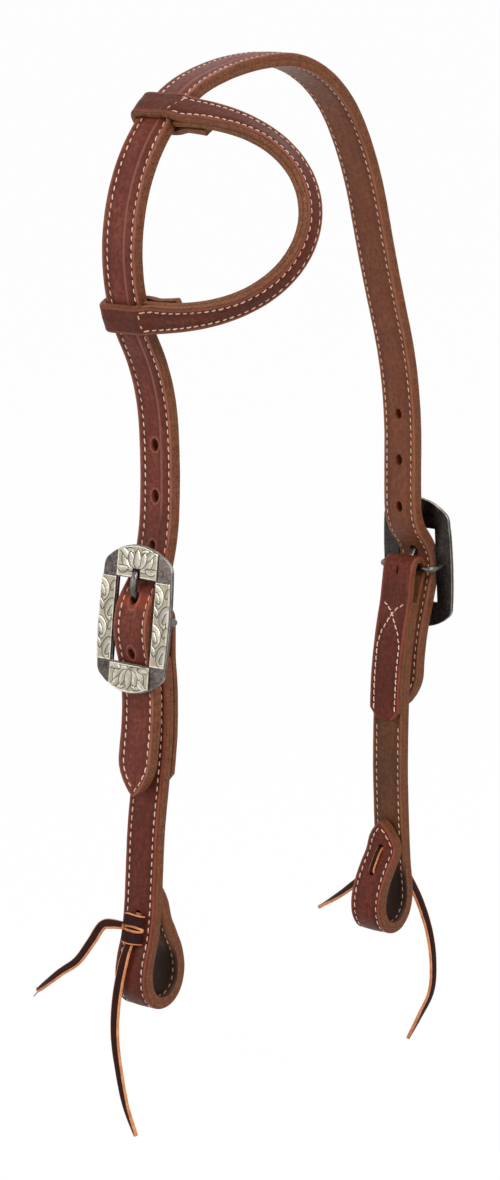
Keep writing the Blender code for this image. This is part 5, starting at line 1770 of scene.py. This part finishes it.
def dress_overlay(side, name, bounds, lie):
    """One bright plate: a pillowed edge, a cut border, and the engraver's lines sunk into its face."""
    corners = np.array(clip(plate_outline(OVERLAY_INSET), *bounds))
    grid = overlay_grid(corners, name == "top")
    flat = grid.reshape(-1, 2)
    raised, cutting, ground, painted_leaf_light = engraved(flat, overlay_leaves(name, corners))
    border = edge_distances(flat, corners)
    framed = risen(border, *BORDER_SLOPE)
    line_place, line_width = BORDER_LINE
    cutting = np.maximum(cutting * framed, 0.45 * np.exp(-((border - line_place) / line_width) ** 2))
    ground = ground * framed
    painted_leaf_light = painted_leaf_light * (0.62 + 0.38 * (ground == 0))
    low = PLATE_STANDOFF + PLATE_THICKNESS + OVERLAY_GAP
    ease = 1 - risen(border, 0.0, PILLOW_REACH)
    height = low + OVERLAY_THICKNESS - PILLOW_DROP * (1 - np.sqrt(1 - ease**2))
    height = height - CUT_DEPTH * cutting - FIELD_DROP * framed + LEAF_RISE * raised * framed
    numbers = np.arange(len(flat)).reshape(grid.shape[:2])
    quads = np.stack([numbers[:-1, :-1], numbers[:-1, 1:], numbers[1:, 1:], numbers[1:, :-1]], -1)
    ring = np.concatenate([numbers[0], numbers[1:, -1], numbers[-1, -2::-1], numbers[-2:0:-1, 0]])
    under = len(flat) + np.arange(len(ring))
    walls = np.stack([ring, np.roll(ring, -1), np.roll(under, -1), under], -1)
    rim = flat[ring]
    points = np.concatenate([np.column_stack([flat[:, 0], height, flat[:, 1]]),
                             np.column_stack([rim[:, 0], np.full(len(rim), low), rim[:, 1]])])
    marks = {mark: np.concatenate([values, np.full(len(rim), below)]) for mark, values, below in (
        ("cut", cutting, 0.0), ("ground", ground, 0.0), ("painted_leaf_light", painted_leaf_light, 0.6))}
    node = f"{side.name}_{name}_overlay"
    faces = [*quads.reshape(-1, 4).tolist(), *walls.tolist(), under.tolist()]
    obj = mesh_object(node + "_engraved", lie.place(points), faces, [SILVER], marks=marks, smooth_angle=50.0)
    worn_by(obj, "crown", "engraved_metal", node)


def dress_buckle(side):
    """The plate with its overlays, the bail behind it, and the tongue with its eye on the bail."""
    lie = Lie(side, side.tilt)
    # The far plate takes the darker copy of the steel, which is painted shade.
    plate = refined(side.name + "_buckle_frame", STEEL if side.name == "near" else SHADED_STEEL)
    worn_by(plate, "crown", "blued_steel", side.name + "_buckle_frame")
    for name, *bounds in overlay_regions(side):
        dress_overlay(side, name, bounds, lie)
    half = BAIL_SPREAD / 2
    foot = PLATE_STANDOFF - BAIL_FOOT_GAP
    corner = arc_points((-half + BAIL_CORNER, BAIL_CORNER), BAIL_CORNER, 180.0, 270.0, 10)
    leg = [(-half, foot), (-half, (foot + BAIL_CORNER) / 2), *corner]
    bridge = [(x, 0.0) for x in np.linspace(-half + BAIL_CORNER, half - BAIL_CORNER, 12)[1:-1]]
    places = lie.place([(x, y, 0.0) for x, y in leg + bridge + [(-x, y) for x, y in leg[::-1]]])
    bar = rod(side.name + "_buckle_bail_rod", places, np.full(len(places), BAIL_ROD / 2), (0.0, 0.0, 1.0), 24)
    worn_by(bar, "crown", "blued_steel", side.name + "_buckle_bail")
    profile = [(0.0, out * TONGUE_REACH, up * TONGUE_REACH) for out, up, _ in TONGUE_SHARES]
    route = Path(smooth(profile))
    distances = np.linspace(0.0, route.length, 60)
    marks = [route.nearest(place) for place in profile]
    shares = np.interp(distances, marks, [share for _, _, share in TONGUE_SHARES])
    bar = rod(side.name + "_tongue_bar", lie.place(route.at(distances)), TONGUE_ROD / 2 * shares, ACROSS)
    tongue = joined(side.name + "_buckle_tongue_steel", [tongue_eye(side, lie), bar])
    worn_by(tongue, side.name + "_tongue", "blued_steel", side.name + "_buckle_tongue")


def tongue_eye(side, lie, count=40):
    """The tongue's eye: a ring round the bail with eased edges."""
    inner = BAIL_ROD / 2 + PIN_PLAY
    outer = inner + TONGUE_EYE_WALL
    half = TONGUE_EYE_WIDTH / 2
    ease = 0.3 * TONGUE_EYE_WALL
    corners = [(half - ease, inner), (half, inner + ease), (half, outer - ease), (half - ease, outer)]
    corners += [(-x, radius) for x, radius in corners[::-1]]
    around = len(corners)
    points = [(x, radius * y, radius * z)
              for y, z in arc_points((0.0, 0.0), 1.0, 0.0, 360.0, count)[:-1] for x, radius in corners]
    faces = [(k * around + i, k * around + j, n * around + j, n * around + i)
             for k, n in zip(range(count), [*range(1, count), 0])
             for i, j in zip(range(around), [*range(1, around), 0])]
    return mesh_object(side.name + "_tongue_eye", lie.place(points), faces, [LIT_ROD_STEEL])


def aimed(name, data, place, ahead):
    """The camera or a lamp at its place, looking ahead."""
    obj = linked(name, data)
    obj.location = place
    obj.rotation_euler = ahead.to_track_quat("-Z", "Y").to_euler()
    return obj


def set_camera():
    """The camera that took the photograph."""
    turn, rise = math.radians(VIEW_TURN), math.radians(VIEW_RISE)
    back = Vector((math.sin(turn) * math.cos(rise), -math.cos(turn) * math.cos(rise), math.sin(rise)))
    camera = bpy.data.cameras.new("camera")
    camera.lens = camera.sensor_width * LENS_SHARE
    camera.clip_start = VIEW_NEAREST
    bpy.context.scene.camera = aimed("camera", camera, Vector(VIEW_AIM) + VIEW_DISTANCE * back, -back)


def set_stage():
    """A room and a floor that look white but light softly, and three lamps."""
    world = bpy.data.worlds.new("studio")
    bpy.context.scene.world = world
    world.use_nodes = True
    room = Tree(world.node_tree)
    strength = ROOM_LIGHT + (1.0 - ROOM_LIGHT) * room.seen_directly()
    room.feed(world.node_tree.nodes["Background"], {"Color": WHITE, "Strength": strength})
    floor_level = CAD_BOUNDS[0][2] - FLOOR_DROP
    corners = [(x * FLOOR_REACH, y * FLOOR_REACH, floor_level) for x, y in ((-1, -1), (1, -1), (1, 1), (-1, 1))]
    floor = mesh_object("floor", corners, [(0, 1, 2, 3)], [floor_finish()])
    for name, place, size, power in LIGHTS:
        light = bpy.data.lights.new(name, "AREA")
        light.shape = "DISK"
        light.size = size
        light.energy = power
        aimed(name, light, place, Vector(LIGHT_AIM) - Vector(place))


def floor_finish():
    """A pale floor that looks white, with a trace of shade."""
    finish = Finish("pale_floor", Base_Color=(0.94, 0.94, 0.94, 1.0), Roughness=0.9)
    pale = Socket(finish, finish.shader.outputs[0])
    glow = finish.node("ShaderNodeEmission", (), {"Color": WHITE, "Strength": 1.0})
    share = finish.seen_directly() * (1.0 - FLOOR_SHADE_SHARE)
    seen = finish.node("ShaderNodeMixShader", (), {0: share, 1: pale, 2: glow})
    finish.feed(finish.group.nodes["Material Output"], {"Surface": seen})
    return finish.material


bpy.context.scene.view_settings.view_transform = "Standard"
set_camera()
for side in SIDES:
    for kind, route in zip(("short", "long"), side.tails):
        dress_tail(side, kind, route)
dress_crown()
dress_ear()
for side in SIDES:
    dress_buckle(side)
    dress_cheek(side)
lay_stitches()
set_stage()
